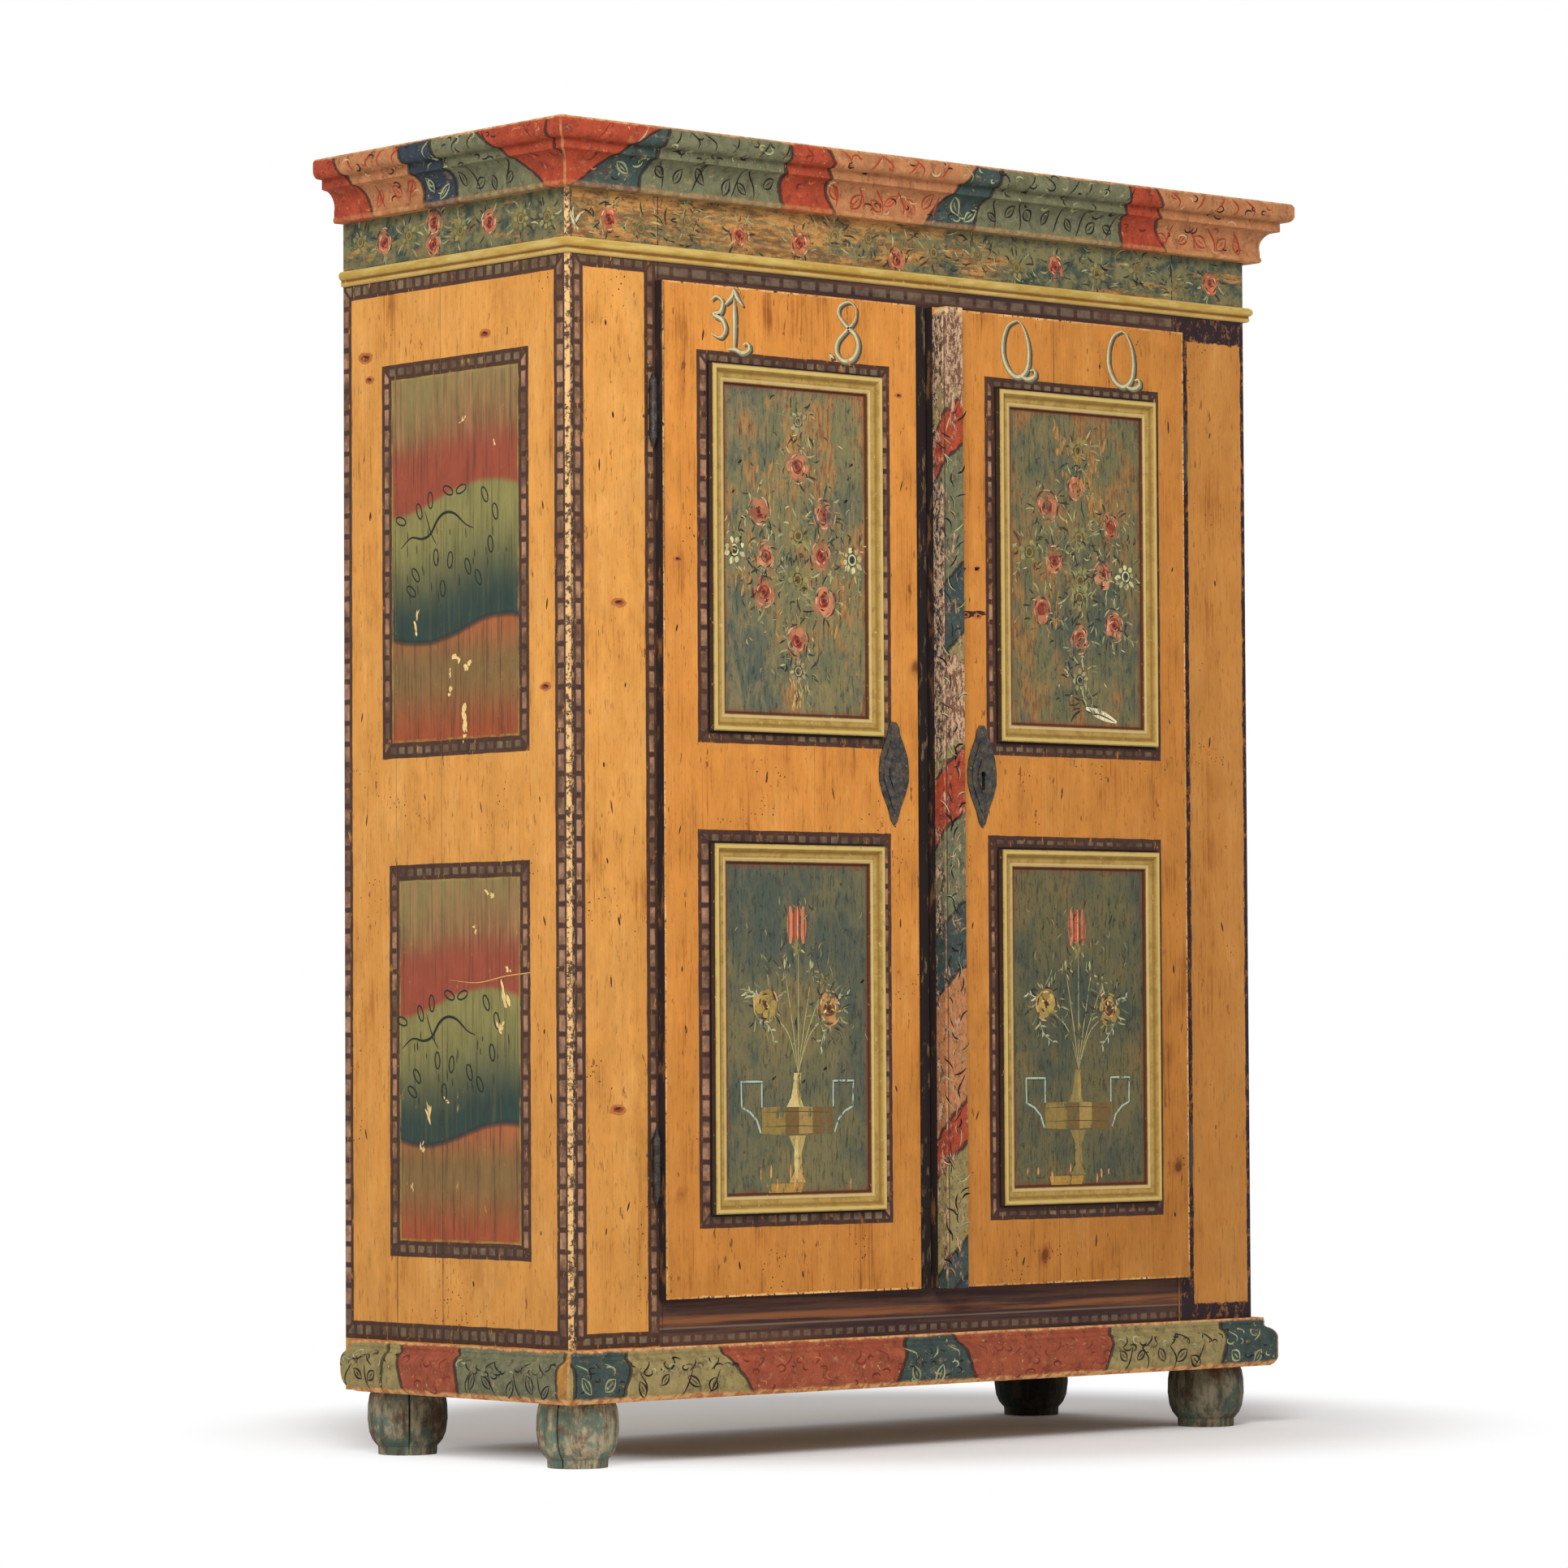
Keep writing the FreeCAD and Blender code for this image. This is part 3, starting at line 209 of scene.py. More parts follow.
class Surface:
    """A material with the rest place and the rest normal of each point of its surface."""

    def __init__(self, name):
        self.material = bpy.data.materials.new(name)
        self.material.use_nodes = True
        self.nodes = self.material.node_tree.nodes
        self.shader = self.nodes["Principled BSDF"]
        places = self.nodes.new("ShaderNodeTexCoord")
        self.point = Field(places.outputs["Object"])
        self.x, self.y, self.z = self.split(places.outputs["Object"])
        self.nx, self.ny, self.nz = self.split(places.outputs["Normal"])

    def split(self, socket):
        node = self.nodes.new("ShaderNodeSeparateXYZ")
        feed(node.inputs[0], Field(socket))
        return [Field(output) for output in node.outputs]

    def grain(self, scale, detail=2.0, roughness=0.5, distortion=0.0):
        return grain(self.point, scale, detail, roughness, distortion)

    def spots(self, scale, detail, roughness, start, end):
        """Patches where the noise rises from start to end."""
        return fade(self.grain(scale, detail, roughness), start, end)

    def front_on(self):
        """One on faces that look to the front."""
        return fade(self.ny, -0.75, -0.85)

    def finish(self, colour, roughness, height, depth, metallic=0.0, specular=0.12):
        """Sets the colour, the roughness and the bump, whose depth is in metres."""
        for name, value in (
            ("Base Color", colour), ("Roughness", roughness),
            ("Metallic", metallic), ("Specular IOR Level", specular),
        ):
            feed(self.shader.inputs[name], value)
        bump = self.nodes.new("ShaderNodeBump")
        for name, value in (("Strength", 1.0), ("Distance", depth), ("Height", height)):
            feed(bump.inputs[name], value)
        feed(self.shader.inputs["Normal"], Field(bump.outputs[0]))
        return self.material


# ---------------------------------------------------------------------------------------
# Places, taken from the frame

def joints_between(low, high, boards):
    """Where equal boards meet between two edges."""
    return [low + (high - low) * index / boards for index in range(1, boards)]


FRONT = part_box("stile_left")[0].y
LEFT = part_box("stile_left")[0].x
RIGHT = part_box("stile_right")[1].x
LEFT_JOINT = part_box("stile_left")[1].x
RIGHT_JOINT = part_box("stile_right")[0].x
CASE_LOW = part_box("stile_left")[0].z
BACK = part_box("side_left_rear_plank")[1].y
SIDE_JOINTS = [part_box(f"side_left_{name}_plank")[1].y - FRONT for name in ("front", "middle")]
BACK_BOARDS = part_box("back_boards")
BACK_JOINTS = joints_between(*(corner.x for corner in BACK_BOARDS), 4)
TOP_JOINTS = joints_between(*(corner.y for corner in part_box("top_boards")), 3)
FLOOR_JOINTS = joints_between(*(corner.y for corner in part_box("floor_boards")), 2)
DOOR_JOINTS = (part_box("left_door_outer_plank")[1].x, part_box("right_door_outer_plank")[0].x)
BEAD_LOW, BEAD_HIGH = (corner.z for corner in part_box("bead_front"))
CORNICE_LOW, CORNICE_HIGH = (corner.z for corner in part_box("cornice_front"))
PLINTH_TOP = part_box("plinth_front")[1].z
DOOR_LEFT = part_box("left_door_outer_plank")[0].x
DOOR_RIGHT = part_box("right_door_outer_plank")[1].x
DOOR_FACE, DOOR_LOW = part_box("left_door_outer_plank")[0].yz
DOOR_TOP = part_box("left_door_outer_plank")[1].z
STRIP_LOW, STRIP_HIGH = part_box("astragal")
FRAMES = [
    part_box(f"{side}_door_{level}_moulding")
    for side in ("left", "right") for level in ("upper", "lower")
]

# Painted layout
BORDER = 21 * MM
BORDER_LINE = 6 * MM
UPRIGHT_PITCH = 28 * MM
LEVEL_PITCH = 19 * MM
TOP_PITCH = 32 * MM
DASH_GAP = 3.8 * MM
WORN_ARRIS = 8 * MM
BAND_LOW = BEAD_LOW - 26 * MM
FIELD_LOW = PLINTH_TOP + 1 * MM
MOULDING_WIDTH = 24 * MM
BORDER_COVER = 0.94



def in_metres(rows):
    return [[value * MM for value in row] for row in rows]


# Painted panels of each side: distances of both edges from the front face, and heights
SIDE_PANELS = in_metres([(80, 393, 928, 1456), (80, 379, 266, 786)])
# How far the borders round the door mouldings reach out to the left, right, below and above
FRAME_BORDERS = in_metres([
    (21, 20, 16, 17), (22, 18, 18, 18), (21, 12, 19, 16), (20, 11, 20, 19),
])

# Colours: each wood has its pale, its middle and its dark grain
HONEY_WOOD = (rgb(226, 168, 94), rgb(214, 148, 72), rgb(166, 102, 44))
ORANGE_WOOD = (rgb(222, 154, 78), rgb(206, 134, 60), rgb(150, 86, 36))
BARE_WOOD = (rgb(206, 168, 114), rgb(184, 142, 88), rgb(146, 104, 60))
BOARD_WOOD = (rgb(206, 168, 114), rgb(184, 142, 90), rgb(144, 102, 60))
BARE_PALE = rgb(240, 200, 140)
UMBER = rgb(46, 32, 36)
UMBER_WARM = rgb(66, 46, 42)
DASH_PINK = rgb(196, 150, 118)
DASH_GREEN = rgb(144, 130, 102)
OLIVE = rgb(182, 146, 66)
OLIVE_DARK = rgb(124, 90, 34)
OLIVE_PALE = rgb(212, 188, 116)
RED = rgb(168, 70, 46)
BRICK = rgb(154, 78, 54)
SALMON = rgb(182, 122, 80)
SAGE = rgb(112, 112, 84)
TEAL = rgb(62, 76, 72)
BLUE = rgb(52, 62, 72)
BUFF = rgb(148, 132, 86)
BLACK_PAINT = rgb(38, 32, 32)
CREAM = rgb(226, 208, 156)
LEAF = rgb(144, 142, 100)
OCHRE = rgb(176, 126, 62)


# ---------------------------------------------------------------------------------------
# Patterns

def laid_flat(s):
    """The place with X and Z changed round, so that grain runs along X."""
    node = s.nodes.new("ShaderNodeCombineXYZ")
    for socket, value in zip(node.inputs, (s.z, s.y, s.x)):
        feed(socket, value)
    return Field(node.outputs[0])


def pine(s, pale, middle, dark, seed, level=False):
    """Pine boards with knots, stains and wormholes, upright or level grain, and painted shade that
    darkens them towards the floor.
    """
    p = moved(laid_flat(s) if level else s.point, seed, seed * 2, 0)
    streaks = grain(p, (30, 30, 0.9), 5, 0.6, 0.4)
    fine = grain(p, (380, 380, 11), 2, 0.5)
    mottle = grain(p, (16, 16, 9), 4, 0.62)
    tone = streaks * 0.34 + fine * 0.3 + mottle * 0.46
    colour = blend(dark, middle, fade(tone, 0.35, 0.52))
    colour = blend(colour, pale, fade(tone, 0.52, 0.78))
    knot = cells(stretched(p, 6.5, 6.5, 5.0), 1.0)
    knot = knot + (grain(p, 60, 3) - 0.5) * 0.08
    colour = blend(colour, rgb(150, 76, 36), fade(knot, 0.10, 0.04) * 0.5)
    colour = blend(colour, rgb(90, 46, 24), fade(knot, 0.06, 0.03) * 0.7)
    hole = fade(cells(p, 130), 0.17, 0.11) * fade(grain(p, 9, 2), 0.60, 0.65)
    fleck = fade(grain(p, (210, 210, 40), 4, 0.75), 0.55, 0.70)
    stain = fade(grain(p, (9, 9, 6), 6, 0.75), 0.55, 0.75)
    ticks = fade(grain(moved(p, 3, 0, 0), (90, 90, 26), 3, 0.7), 0.66, 0.71)
    colour = blend(colour, rgb(112, 62, 30), highest(fleck * 0.5, stain * 0.28, ticks * 0.75))
    colour = blend(colour, rgb(60, 34, 20), hole)
    # Painted shade: every board is made up to 13 per cent darker towards the floor.
    colour = shade(colour, fade(s.z, 0.0, 1.3) * 0.13 + 0.87)
    colour = shade(colour, grain(p, (26, 26, 12), 6, 0.75) * 0.7 + 0.65)
    height = streaks * 0.3 + fine * 0.35 - hole * 0.9 - fleck * 0.3
    return colour, height


def honey_wood(s):
    """The pine of the case: colour and height."""
    return pine(s, *HONEY_WOOD, 0.0)


def orange_wood(s):
    """The pine of the doors: colour and height."""
    return pine(s, *ORANGE_WOOD, 0.9)


def dash_gaps(place, pitch):
    """One on the dashes of a border, and nought on the dark gaps between them."""
    return fade(work("PINGPONG", place, pitch / 2), DASH_GAP - 1.2 * MM, DASH_GAP + 0.8 * MM)


def border(s, colour, u, rectangle, width):
    """A painted border inside a rectangle: dark lines with dim dashes between them."""
    low_u, high_u, low_z, high_z = rectangle
    across = lowest(u - low_u, high_u - u)
    up = lowest(s.z - low_z, high_z - s.z)
    wobble = (s.grain(34, 3) - 0.5) * (2.4 * MM)
    inward = lowest(across, up) + wobble
    mask = fade(inward, -0.5 * MM, 0.5 * MM) * fade(inward, width + 0.6 * MM, width - 0.6 * MM)
    upright = fade(across - up, 0.5 * MM, -0.5 * MM)
    dash = dash_gaps(s.z + wobble, UPRIGHT_PITCH) * upright
    dash = dash + dash_gaps(u + wobble, LEVEL_PITCH) * (1.0 - upright)
    dash = dash * span(inward, BORDER_LINE, width - BORDER_LINE, 1.0 * MM)
    dash = dash * fade(size_of(across - up), 2.2 * MM, 4.0 * MM)
    dim = s.spots(42, 4, 0.7, 0.34, 0.64)
    dark = blend(UMBER, UMBER_WARM, s.spots(60, 4, 0.7, 0.42, 0.7))
    pale = blend(DASH_GREEN, DASH_PINK, upright)
    uneven = s.spots(17, 3, 0.6, 0.36, 0.60)
    paint = blend(
        dark, pale, dash * (dim * 0.55 + 0.22) * (uneven * 0.75 + 0.25) * (upright * 0.15 + 0.85),
    )
    rubbed = s.spots((130, 130, 50), 4, 0.7, 0.60, 0.70)
    return blend(colour, paint, mask * (1.0 - rubbed * 0.65) * BORDER_COVER)


def landscape(s, u, rectangle, colour):
    """A marbled side panel: red, then a wavy green hill over dark teal, then brown and red."""
    low_u, high_u, low_z, high_z = rectangle
    inside = depth_inside(u, s.z, *rectangle)
    mask = fade(inside, BORDER - 0.5 * MM, BORDER + 0.5 * MM)
    rise = (s.z - low_z) / (high_z - low_z)
    across = (u - low_u) / (high_u - low_u)
    ripple = (s.grain((9, 9, 5), 2) - 0.5) * 0.02
    top = 0.645 + work("SINE", across * 4.83 + 0.12) * 0.037 + ripple
    low = 0.313 + work("SINE", across * 5.6 + 0.62) * 0.030 + ripple
    streak = s.grain((150, 150, 7), 4, 0.65)
    mottle = s.grain((40, 40, 22), 4, 0.65)
    far = blend(rgb(128, 86, 58), rgb(132, 116, 72), fade(rise - top, 0.10, 0.30))
    ground = blend(far, rgb(162, 118, 80), fade(streak, 0.42, 0.66) * 0.7)
    ground = blend(rgb(146, 74, 54), ground, fade(rise - top * 0.35, 0.51, 0.61))
    hill = blend(rgb(48, 64, 58), rgb(134, 126, 76), fade((rise - low) / (top - low), 0.12, 0.84))
    hill = blend(hill, rgb(92, 88, 58), fade(streak, 0.48, 0.72) * 0.5)
    foot = blend(rgb(152, 76, 48), rgb(126, 98, 60), fade(rise, 0.04, 0.20))
    foot = blend(foot, rgb(160, 94, 58), fade(rise, 0.22, 0.34))
    foot = blend(foot, rgb(92, 60, 42), fade(streak, 0.5, 0.66) * 0.6)
    fibre = grain(moved(s.point, 0, 1, 0), (260, 260, 9), 3, 0.6)
    picture = blend(hill, ground, fade(rise - top, -0.010, 0.010))
    picture = blend(foot, picture, fade(rise - low, -0.006, 0.006))
    picture = blend(picture, rgb(36, 44, 46), fade(size_of(rise - low), 0.012, 0.002) * 0.6)
    picture = shade(picture, mottle * 0.7 + 0.70)
    picture = blend(picture, rgb(58, 50, 38), fade(fibre, 0.54, 0.68) * 0.5)
    lip = span(inside, BORDER, BORDER + 3 * MM, 0.8 * MM)
    picture = blend(picture, rgb(150, 138, 62), lip * fade(mottle, 0.4, 0.6) * 0.7)
    worn = s.spots((70, 70, 30), 5, 0.75, 0.64, 0.70)
    picture = blend(picture, rgb(198, 142, 84), worn * 0.6)
    return blend(colour, picture, mask)


def worn_edge(s, colour, distance, width, patchy=0.0):
    """Bare pale wood along an arris, with specks of the old paint left on it."""
    ragged = distance + (s.grain((90, 90, 45), 4, 0.65) - 0.5) * width * 1.5
    bare = fade(ragged, width, width * 0.55)
    bare = bare * (1.0 - s.spots((20, 20, 12), 3, 0.5, 0.62, 0.44) * patchy)
    specks = s.spots(170, 3, 0.65, 0.53, 0.62)
    wood = blend(rgb(230, 182, 116), rgb(206, 144, 80), s.spots(60, 3, 0.5, 0.42, 0.62))
    return blend(colour, blend(wood, UMBER_WARM, specks), bare)


def frieze_ground(s, front_on):
    """Grey-green paint of the frieze, wiped down to the wood on the left of the front."""
    mottle = s.grain((40, 40, 40), 5, 0.7)
    ground = blend(rgb(58, 72, 66), rgb(124, 116, 78), fade(mottle, 0.34, 0.60))
    wipes = s.grain((7, 16, 52), 6, 0.72)
    left_half = fade(s.x, 0.25, -0.25) * front_on
    bare = fade(wipes + left_half * 0.14, 0.52, 0.66)
    old = blend(rgb(124, 88, 52), rgb(196, 142, 78), s.spots((30, 30, 120), 4, 0.7, 0.38, 0.62))
    pits = s.spots((100, 100, 140), 4, 0.75, 0.54, 0.64)
    ground = blend(blend(ground, old, bare * 0.9), rgb(54, 48, 40), pits * 0.6)
    return ground


def panel_ground(s):
    """Blue-green panel paint, rubbed down to ochre and rust in upright streaks, with painted shade
    on the lower panels and on the right door's panels.
    """
    streaks = s.grain((50, 50, 16), 7, 0.78, 0.6)
    clouds = s.grain((17, 17, 9), 5, 0.68)
    low_down = fade(s.z, 0.88, 0.80)
    fine = s.grain((210, 210, 40), 4, 0.7)
    patches = s.grain(6.5, 4, 0.6)
    paint = blend(rgb(80, 88, 76), rgb(116, 110, 76), fade(patches, 0.36, 0.58))
    paint = blend(paint, rgb(48, 54, 50), fade(fine, 0.50, 0.64) * 0.7)
    paint = blend(paint, rgb(150, 128, 84), fade(streaks, 0.44, 0.60) * (0.5 - low_down * 0.25))
    rubbed = fade(clouds * 0.7 + streaks * 0.3 + (patches - 0.5) * 0.6, 0.50, 0.62)
    paint = blend(
        paint, blend(rgb(166, 122, 70), rgb(128, 82, 52), fade(fine, 0.42, 0.6)),
        rubbed * (0.8 - low_down * 0.62),
    )
    speck = s.spots((170, 170, 90), 4, 0.75, 0.58, 0.66)
    paint = blend(paint, rgb(40, 38, 34), speck * 0.6)
    # Painted shade: the lower panels and the panels right of the middle are made darker.
    return shade(paint, 1.06 - low_down * 0.16 - fade(s.x, 0.0, 0.1) * 0.16)


def marbling(s, place, blocks, middle, ragged):
    """Blocks of colour end to end, with a black contour where two meet."""
    wander = place + (s.grain(22, 4, 0.6) - 0.5) * ragged
    colour = blocks[0][1]
    outlines = []
    for (end, _, lean), (_, following, _) in zip(blocks, blocks[1:]):
        gap = wander - (s.z - middle) * lean - end * MM
        colour = blend(colour, following, fade(gap, -1.0 * MM, 1.0 * MM))
        outlines.append(fade(size_of(gap), 4.4 * MM, 2.2 * MM))
    colour = shade(colour, s.grain(48, 6, 0.75) * 1.5 + 0.2)
    dirt = s.spots((90, 90, 60), 5, 0.8, 0.52, 0.64)
    colour = blend(colour, rgb(64, 44, 38), dirt * 0.5)
    dust = s.spots((60, 60, 100), 5, 0.75, 0.56, 0.70)
    colour = blend(colour, rgb(186, 150, 104), dust * 0.45)
    return blend(colour, BLACK_PAINT, highest(*outlines) * 0.8)


# ---------------------------------------------------------------------------------------
# Materials of the solid pieces

def side_colour(s, wood, depth):
    """A side: its painted panels, the seams of its planks and the border round it."""
    colour = wood
    for rectangle in SIDE_PANELS:
        colour = landscape(s, depth, rectangle, colour)
        colour = border(s, colour, depth, rectangle, BORDER)
    for joint in SIDE_JOINTS:
        seam = fade(size_of(depth - joint), 1.3 * MM, 0.5 * MM)
        seam = seam * s.spots((9, 9, 3), 2, 0.5, 0.35, 0.5)
        colour = blend(colour, rgb(52, 32, 22), seam * (fade(s.z, 0.75, 0.3) * 0.5 + 0.35))
    whole_side = (3 * MM, BACK - FRONT + 6 * MM, FIELD_LOW, BEAD_LOW + 4 * MM)
    return border(s, colour, depth, whole_side, 24 * MM)


def rail_colour(s):
    """The dark rails: smeared paint, a worn ledge, and a row of dashes on each rail."""
    smear = s.grain((3, 30, 90), 5, 0.7)
    colour = blend(rgb(58, 40, 40), rgb(96, 66, 52), fade(smear, 0.35, 0.65))
    ledge = span(s.z, CASE_LOW + 95 * MM, CASE_LOW + 106 * MM, 3 * MM)
    colour = blend(colour, rgb(138, 86, 52), ledge * fade(smear, 0.3, 0.55) * 0.9)
    line = span(s.z, CASE_LOW + 90 * MM, CASE_LOW + 92 * MM, 1.2 * MM)
    colour = blend(colour, rgb(140, 118, 98), line * 0.6)
    dim = s.spots(42, 4, 0.7, 0.3, 0.62)
    for pitch, low, high, soft in (
        (LEVEL_PITCH, PLINTH_TOP + 5 * MM, PLINTH_TOP + 13 * MM, 1 * MM),
        (TOP_PITCH, BAND_LOW + 9 * MM, BEAD_LOW - 6 * MM, 1.5 * MM),
    ):
        dash = dash_gaps(s.x, pitch) * span(s.z, low, high, soft)
        colour = blend(colour, rgb(122, 104, 84), dash * dim * 0.75)
    return colour


def front_colour(s, wood):
    """The front frame: a bordered left stile, a sooty right stile, and the rails."""
    colour = blend(wood, blend(shade(wood, 0.8), rgb(176, 102, 44), 0.25), fade(s.x, 0.2, 0.3))
    left_field = (LEFT + 7 * MM, LEFT_JOINT - 4 * MM, FIELD_LOW, BEAD_LOW + 4 * MM)
    colour = border(s, colour, s.x, left_field, 20 * MM)
    clean_left, clean_right = DOOR_RIGHT + 23 * MM, RIGHT - 12 * MM
    clean = lowest(s.x - clean_left, clean_right - s.x, s.z - FIELD_LOW - 22 * MM)
    clean = lowest(clean, BAND_LOW - 10 * MM - s.z + (s.grain(40, 4) - 0.5) * 18 * MM)
    clean = clean + (s.grain((120, 120, 40), 4, 0.75) - 0.5) * 8 * MM
    soot = blend(UMBER, rgb(134, 90, 56), s.spots((110, 110, 70), 4, 0.75, 0.52, 0.64))
    colour = blend(colour, soot, fade(clean, 1.0 * MM, -1.0 * MM) * fade(s.x, 0.3, 0.4))
    on_rails = span(s.x, LEFT_JOINT - 5 * MM, RIGHT_JOINT + 4 * MM, 0.5 * MM)
    return blend(colour, rail_colour(s), on_rails)


def case_wear(s, colour, depth, side_on, front_on):
    """The seams of the front frame, dust along the near corner, and worn arrises."""
    seam = lowest(size_of(s.x - LEFT_JOINT), size_of(s.x - RIGHT_JOINT))
    colour = blend(colour, rgb(40, 26, 22), fade(seam, 1.1 * MM, 0.5 * MM) * front_on * 0.9)
    near_corner = (s.x - LEFT) * front_on + depth * 1.7 * side_on + fade(s.x, -0.1, 0.0)
    speckle = s.spots((150, 150, 90), 4, 0.75, 0.47, 0.60)
    dusty = blend(rgb(50, 44, 44), rgb(176, 142, 104), speckle)
    colour = blend(colour, dusty, fade(near_corner, WORN_ARRIS + 2 * MM, WORN_ARRIS) * 0.9)
    colour = worn_edge(s, colour, near_corner, 2.6 * MM, 0.5)
    near_right = RIGHT - s.x + (1.0 - front_on) * 0.5
    colour = worn_edge(s, colour, near_right, 5 * MM, 0.7)
    arris = 1.0 - highest(size_of(s.nx), size_of(s.ny))
    bare = blend(rgb(216, 172, 112), rgb(84, 62, 50), s.spots(120, 3, 0.7, 0.46, 0.6))
    return blend(colour, bare, fade(arris, 0.1, 0.2) * fade(s.x, 0.1, -0.1))


def case_paint():
    """The sides and the front frame: wood, borders, painted panels and the frieze."""
    s = Surface("case_pine")
    side_on = fade(size_of(s.nx), 0.75, 0.85)
    front_on = s.front_on()
    depth = s.y - FRONT
    wood, height = honey_wood(s)
    colour = blend(side_colour(s, wood, depth), front_colour(s, wood), front_on)
    frieze_on = fade(s.z, BEAD_HIGH - 4 * MM, BEAD_HIGH - 3 * MM)
    colour = blend(colour, frieze_ground(s, front_on), frieze_on)
    colour = case_wear(s, colour, depth, side_on, front_on)
    bare, _ = pine(s, *BARE_WOOD, 3.1)
    outer = fade(size_of(s.x), RIGHT - 20 * MM, RIGHT - 10 * MM)
    colour = blend(colour, bare, (1.0 - front_on) * (1.0 - outer))
    return s.finish(colour, 0.52 + s.grain(60, 3) * 0.25, height, 0.7 * MM)


def door_paint():
    """Door planks: orange pine, borders and the painted grounds inside the mouldings."""
    s = Surface("door_pine")
    front_on = s.front_on()
    face, height = orange_wood(s)
    # Painted shade: the planks are made darker towards the right and towards the bottom.
    face = shade(face, 1.0 - fade(s.x, -0.1, 0.45) * 0.16 - fade(s.z, 0.8, 0.25) * 0.08)
    for joint in DOOR_JOINTS:
        seam = fade(
            size_of(s.x - joint), 1.1 * MM, 0.5 * MM,
        ) * s.spots((9, 9, 3), 2, 0.5, 0.42, 0.56)
        face = blend(face, rgb(84, 46, 26), seam * 0.7)
    for (low, high), (left, right, below, above) in zip(FRAMES, FRAME_BORDERS):
        rectangle = (low.x - left, high.x + right, low.z - below, high.z + above)
        face = border(s, face, s.x, rectangle, min(left, right, below, above) + 6 * MM)
        under = depth_inside(s.x, s.z, low.x, high.x, low.z, high.z)
        # Painted shade: a near-black line on the plank round the foot of each moulding, over the
        # border's inner line.
        face = blend(face, rgb(34, 24, 26), fade(under, -4.5 * MM, -2.5 * MM))
        inside = under - MOULDING_WIDTH
        streaks = s.grain((42, 42, 5), 5, 0.7)
        ground = blend(
            panel_ground(s), rgb(124, 66, 42),
            fade(inside, 12 * MM, 1 * MM) * fade(streaks, 0.36, 0.6) * 0.6,
        )
        # A dark red band on the field along the inside of each moulding: the fillet's red paint,
        # darkened as painted shade where the field meets the moulding.
        ground = blend(ground, rgb(92, 40, 32), fade(inside, 4 * MM, 2 * MM) * 0.85)
        face = blend(face, ground, fade(inside, -0.5 * MM, 0.5 * MM))
    edge = depth_inside(s.x, s.z, DOOR_LEFT, DOOR_RIGHT, DOOR_LOW, DOOR_TOP)
    face = blend(
        face, UMBER, fade(s.x, DOOR_LEFT + 5 * MM, DOOR_LEFT + 2 * MM) * fade(s.z, 1.0, 1.2) * 0.8,
    )
    face = worn_edge(s, face, edge, 3.2 * MM, 0.65)
    meeting = span(s.x, -31 * MM, 0.0, 0.5 * MM)
    meeting = meeting * fade(s.y, DOOR_FACE + 2 * MM, DOOR_FACE + 4 * MM)
    chips = s.spots((90, 90, 24), 4, 0.7, 0.56, 0.68)
    face = blend(face, blend(rgb(40, 33, 32), rgb(112, 92, 70), chips), meeting)
    edges = blend(rgb(44, 35, 34), rgb(118, 80, 50), s.spots((70, 70, 20), 4, 0.7, 0.52, 0.68))
    painted_edge = fade(s.y, FRONT + 1 * MM, FRONT - 1 * MM)
    bare, _ = pine(s, *BARE_WOOD, 4.3)
    colour = blend(blend(bare, edges, painted_edge), face, front_on)
    roughness = 0.5 + s.grain(60, 3) * 0.25
    return s.finish(colour, roughness, height, 0.7 * MM)


def seams(colour, place, joints, share):
    """Dark lines where two boards meet."""
    for joint in joints:
        gap = fade(size_of(place - joint), 1.4 * MM, 0.6 * MM)
        colour = blend(colour, rgb(56, 36, 24), gap * share)
    return colour


def bare_pine(name, level):
    s = Surface(name)
    colour, height = pine(s, *BOARD_WOOD, 2.4, level)
    if level:
        colour = seams(colour, s.y, TOP_JOINTS, fade(s.z, 1.60, 1.61))
        colour = seams(colour, s.y, FLOOR_JOINTS, fade(s.z, 0.31, 0.30))
    else:
        colour = seams(
            colour, s.x, BACK_JOINTS,
            fade(s.y, BACK_BOARDS[0].y - 2 * MM, BACK_BOARDS[0].y - 1 * MM),
        )
    dust = s.spots(5, 4, 0.6, 0.45, 0.7)
    colour = blend(colour, rgb(146, 114, 80), dust * 0.4)
    return s.finish(colour, 0.7 + s.grain(50, 2) * 0.2, height, 0.6 * MM)


# Marbled blocks: where each ends, its colour, and how far its end leans with height
CORNICE_FRONT = [
    (-566, RED, 1.5), (-505, TEAL, 0.3), (-276, SAGE, -0.2), (-196, RED, -0.5), (24, SALMON, 0.9),
    (92, TEAL, 0.3), (357, SAGE, -0.2), (424, RED, -0.6), (900, SALMON, 0.0),
]
CORNICE_SIDE = [
    (-20, RED, 0.0), (75, RED, 1.3), (214, SAGE, 0.2), (284, BLUE, 0.2), (412, SALMON, 0.6),
    (900, RED, 0.0),
]
PLINTH_FRONT = [
    (-640, BUFF, 0.0), (-548, TEAL, 0.3), (-359, BUFF, -0.8), (-67, BRICK, 0.5), (52, TEAL, -0.5),
    (320, BRICK, 0.4), (543, BUFF, 0.2), (900, TEAL, 0.0),
]
PLINTH_SIDE = [
    (0, OCHRE, 0.0), (211, SAGE, 0.2), (332, BRICK, 0.3), (368, BUFF, 0.0), (900, BUFF, 0.0),
]
STRIP_BANDS = [
    (218, BLUE, 0.0), (267, TEAL, 0.0), (398, BUFF, 0.0), (452, RED, 0.0), (638, SALMON, 0.0),
    (726, TEAL, 0.0),
    (847, SAGE, 0.0), (935, RED, 0.0), (1089, BUFF, 0.0), (1182, TEAL, 0.0), (1343, SAGE, 0.0),
    (1409, RED, 0.0), (1700, BUFF, 0.0),
]


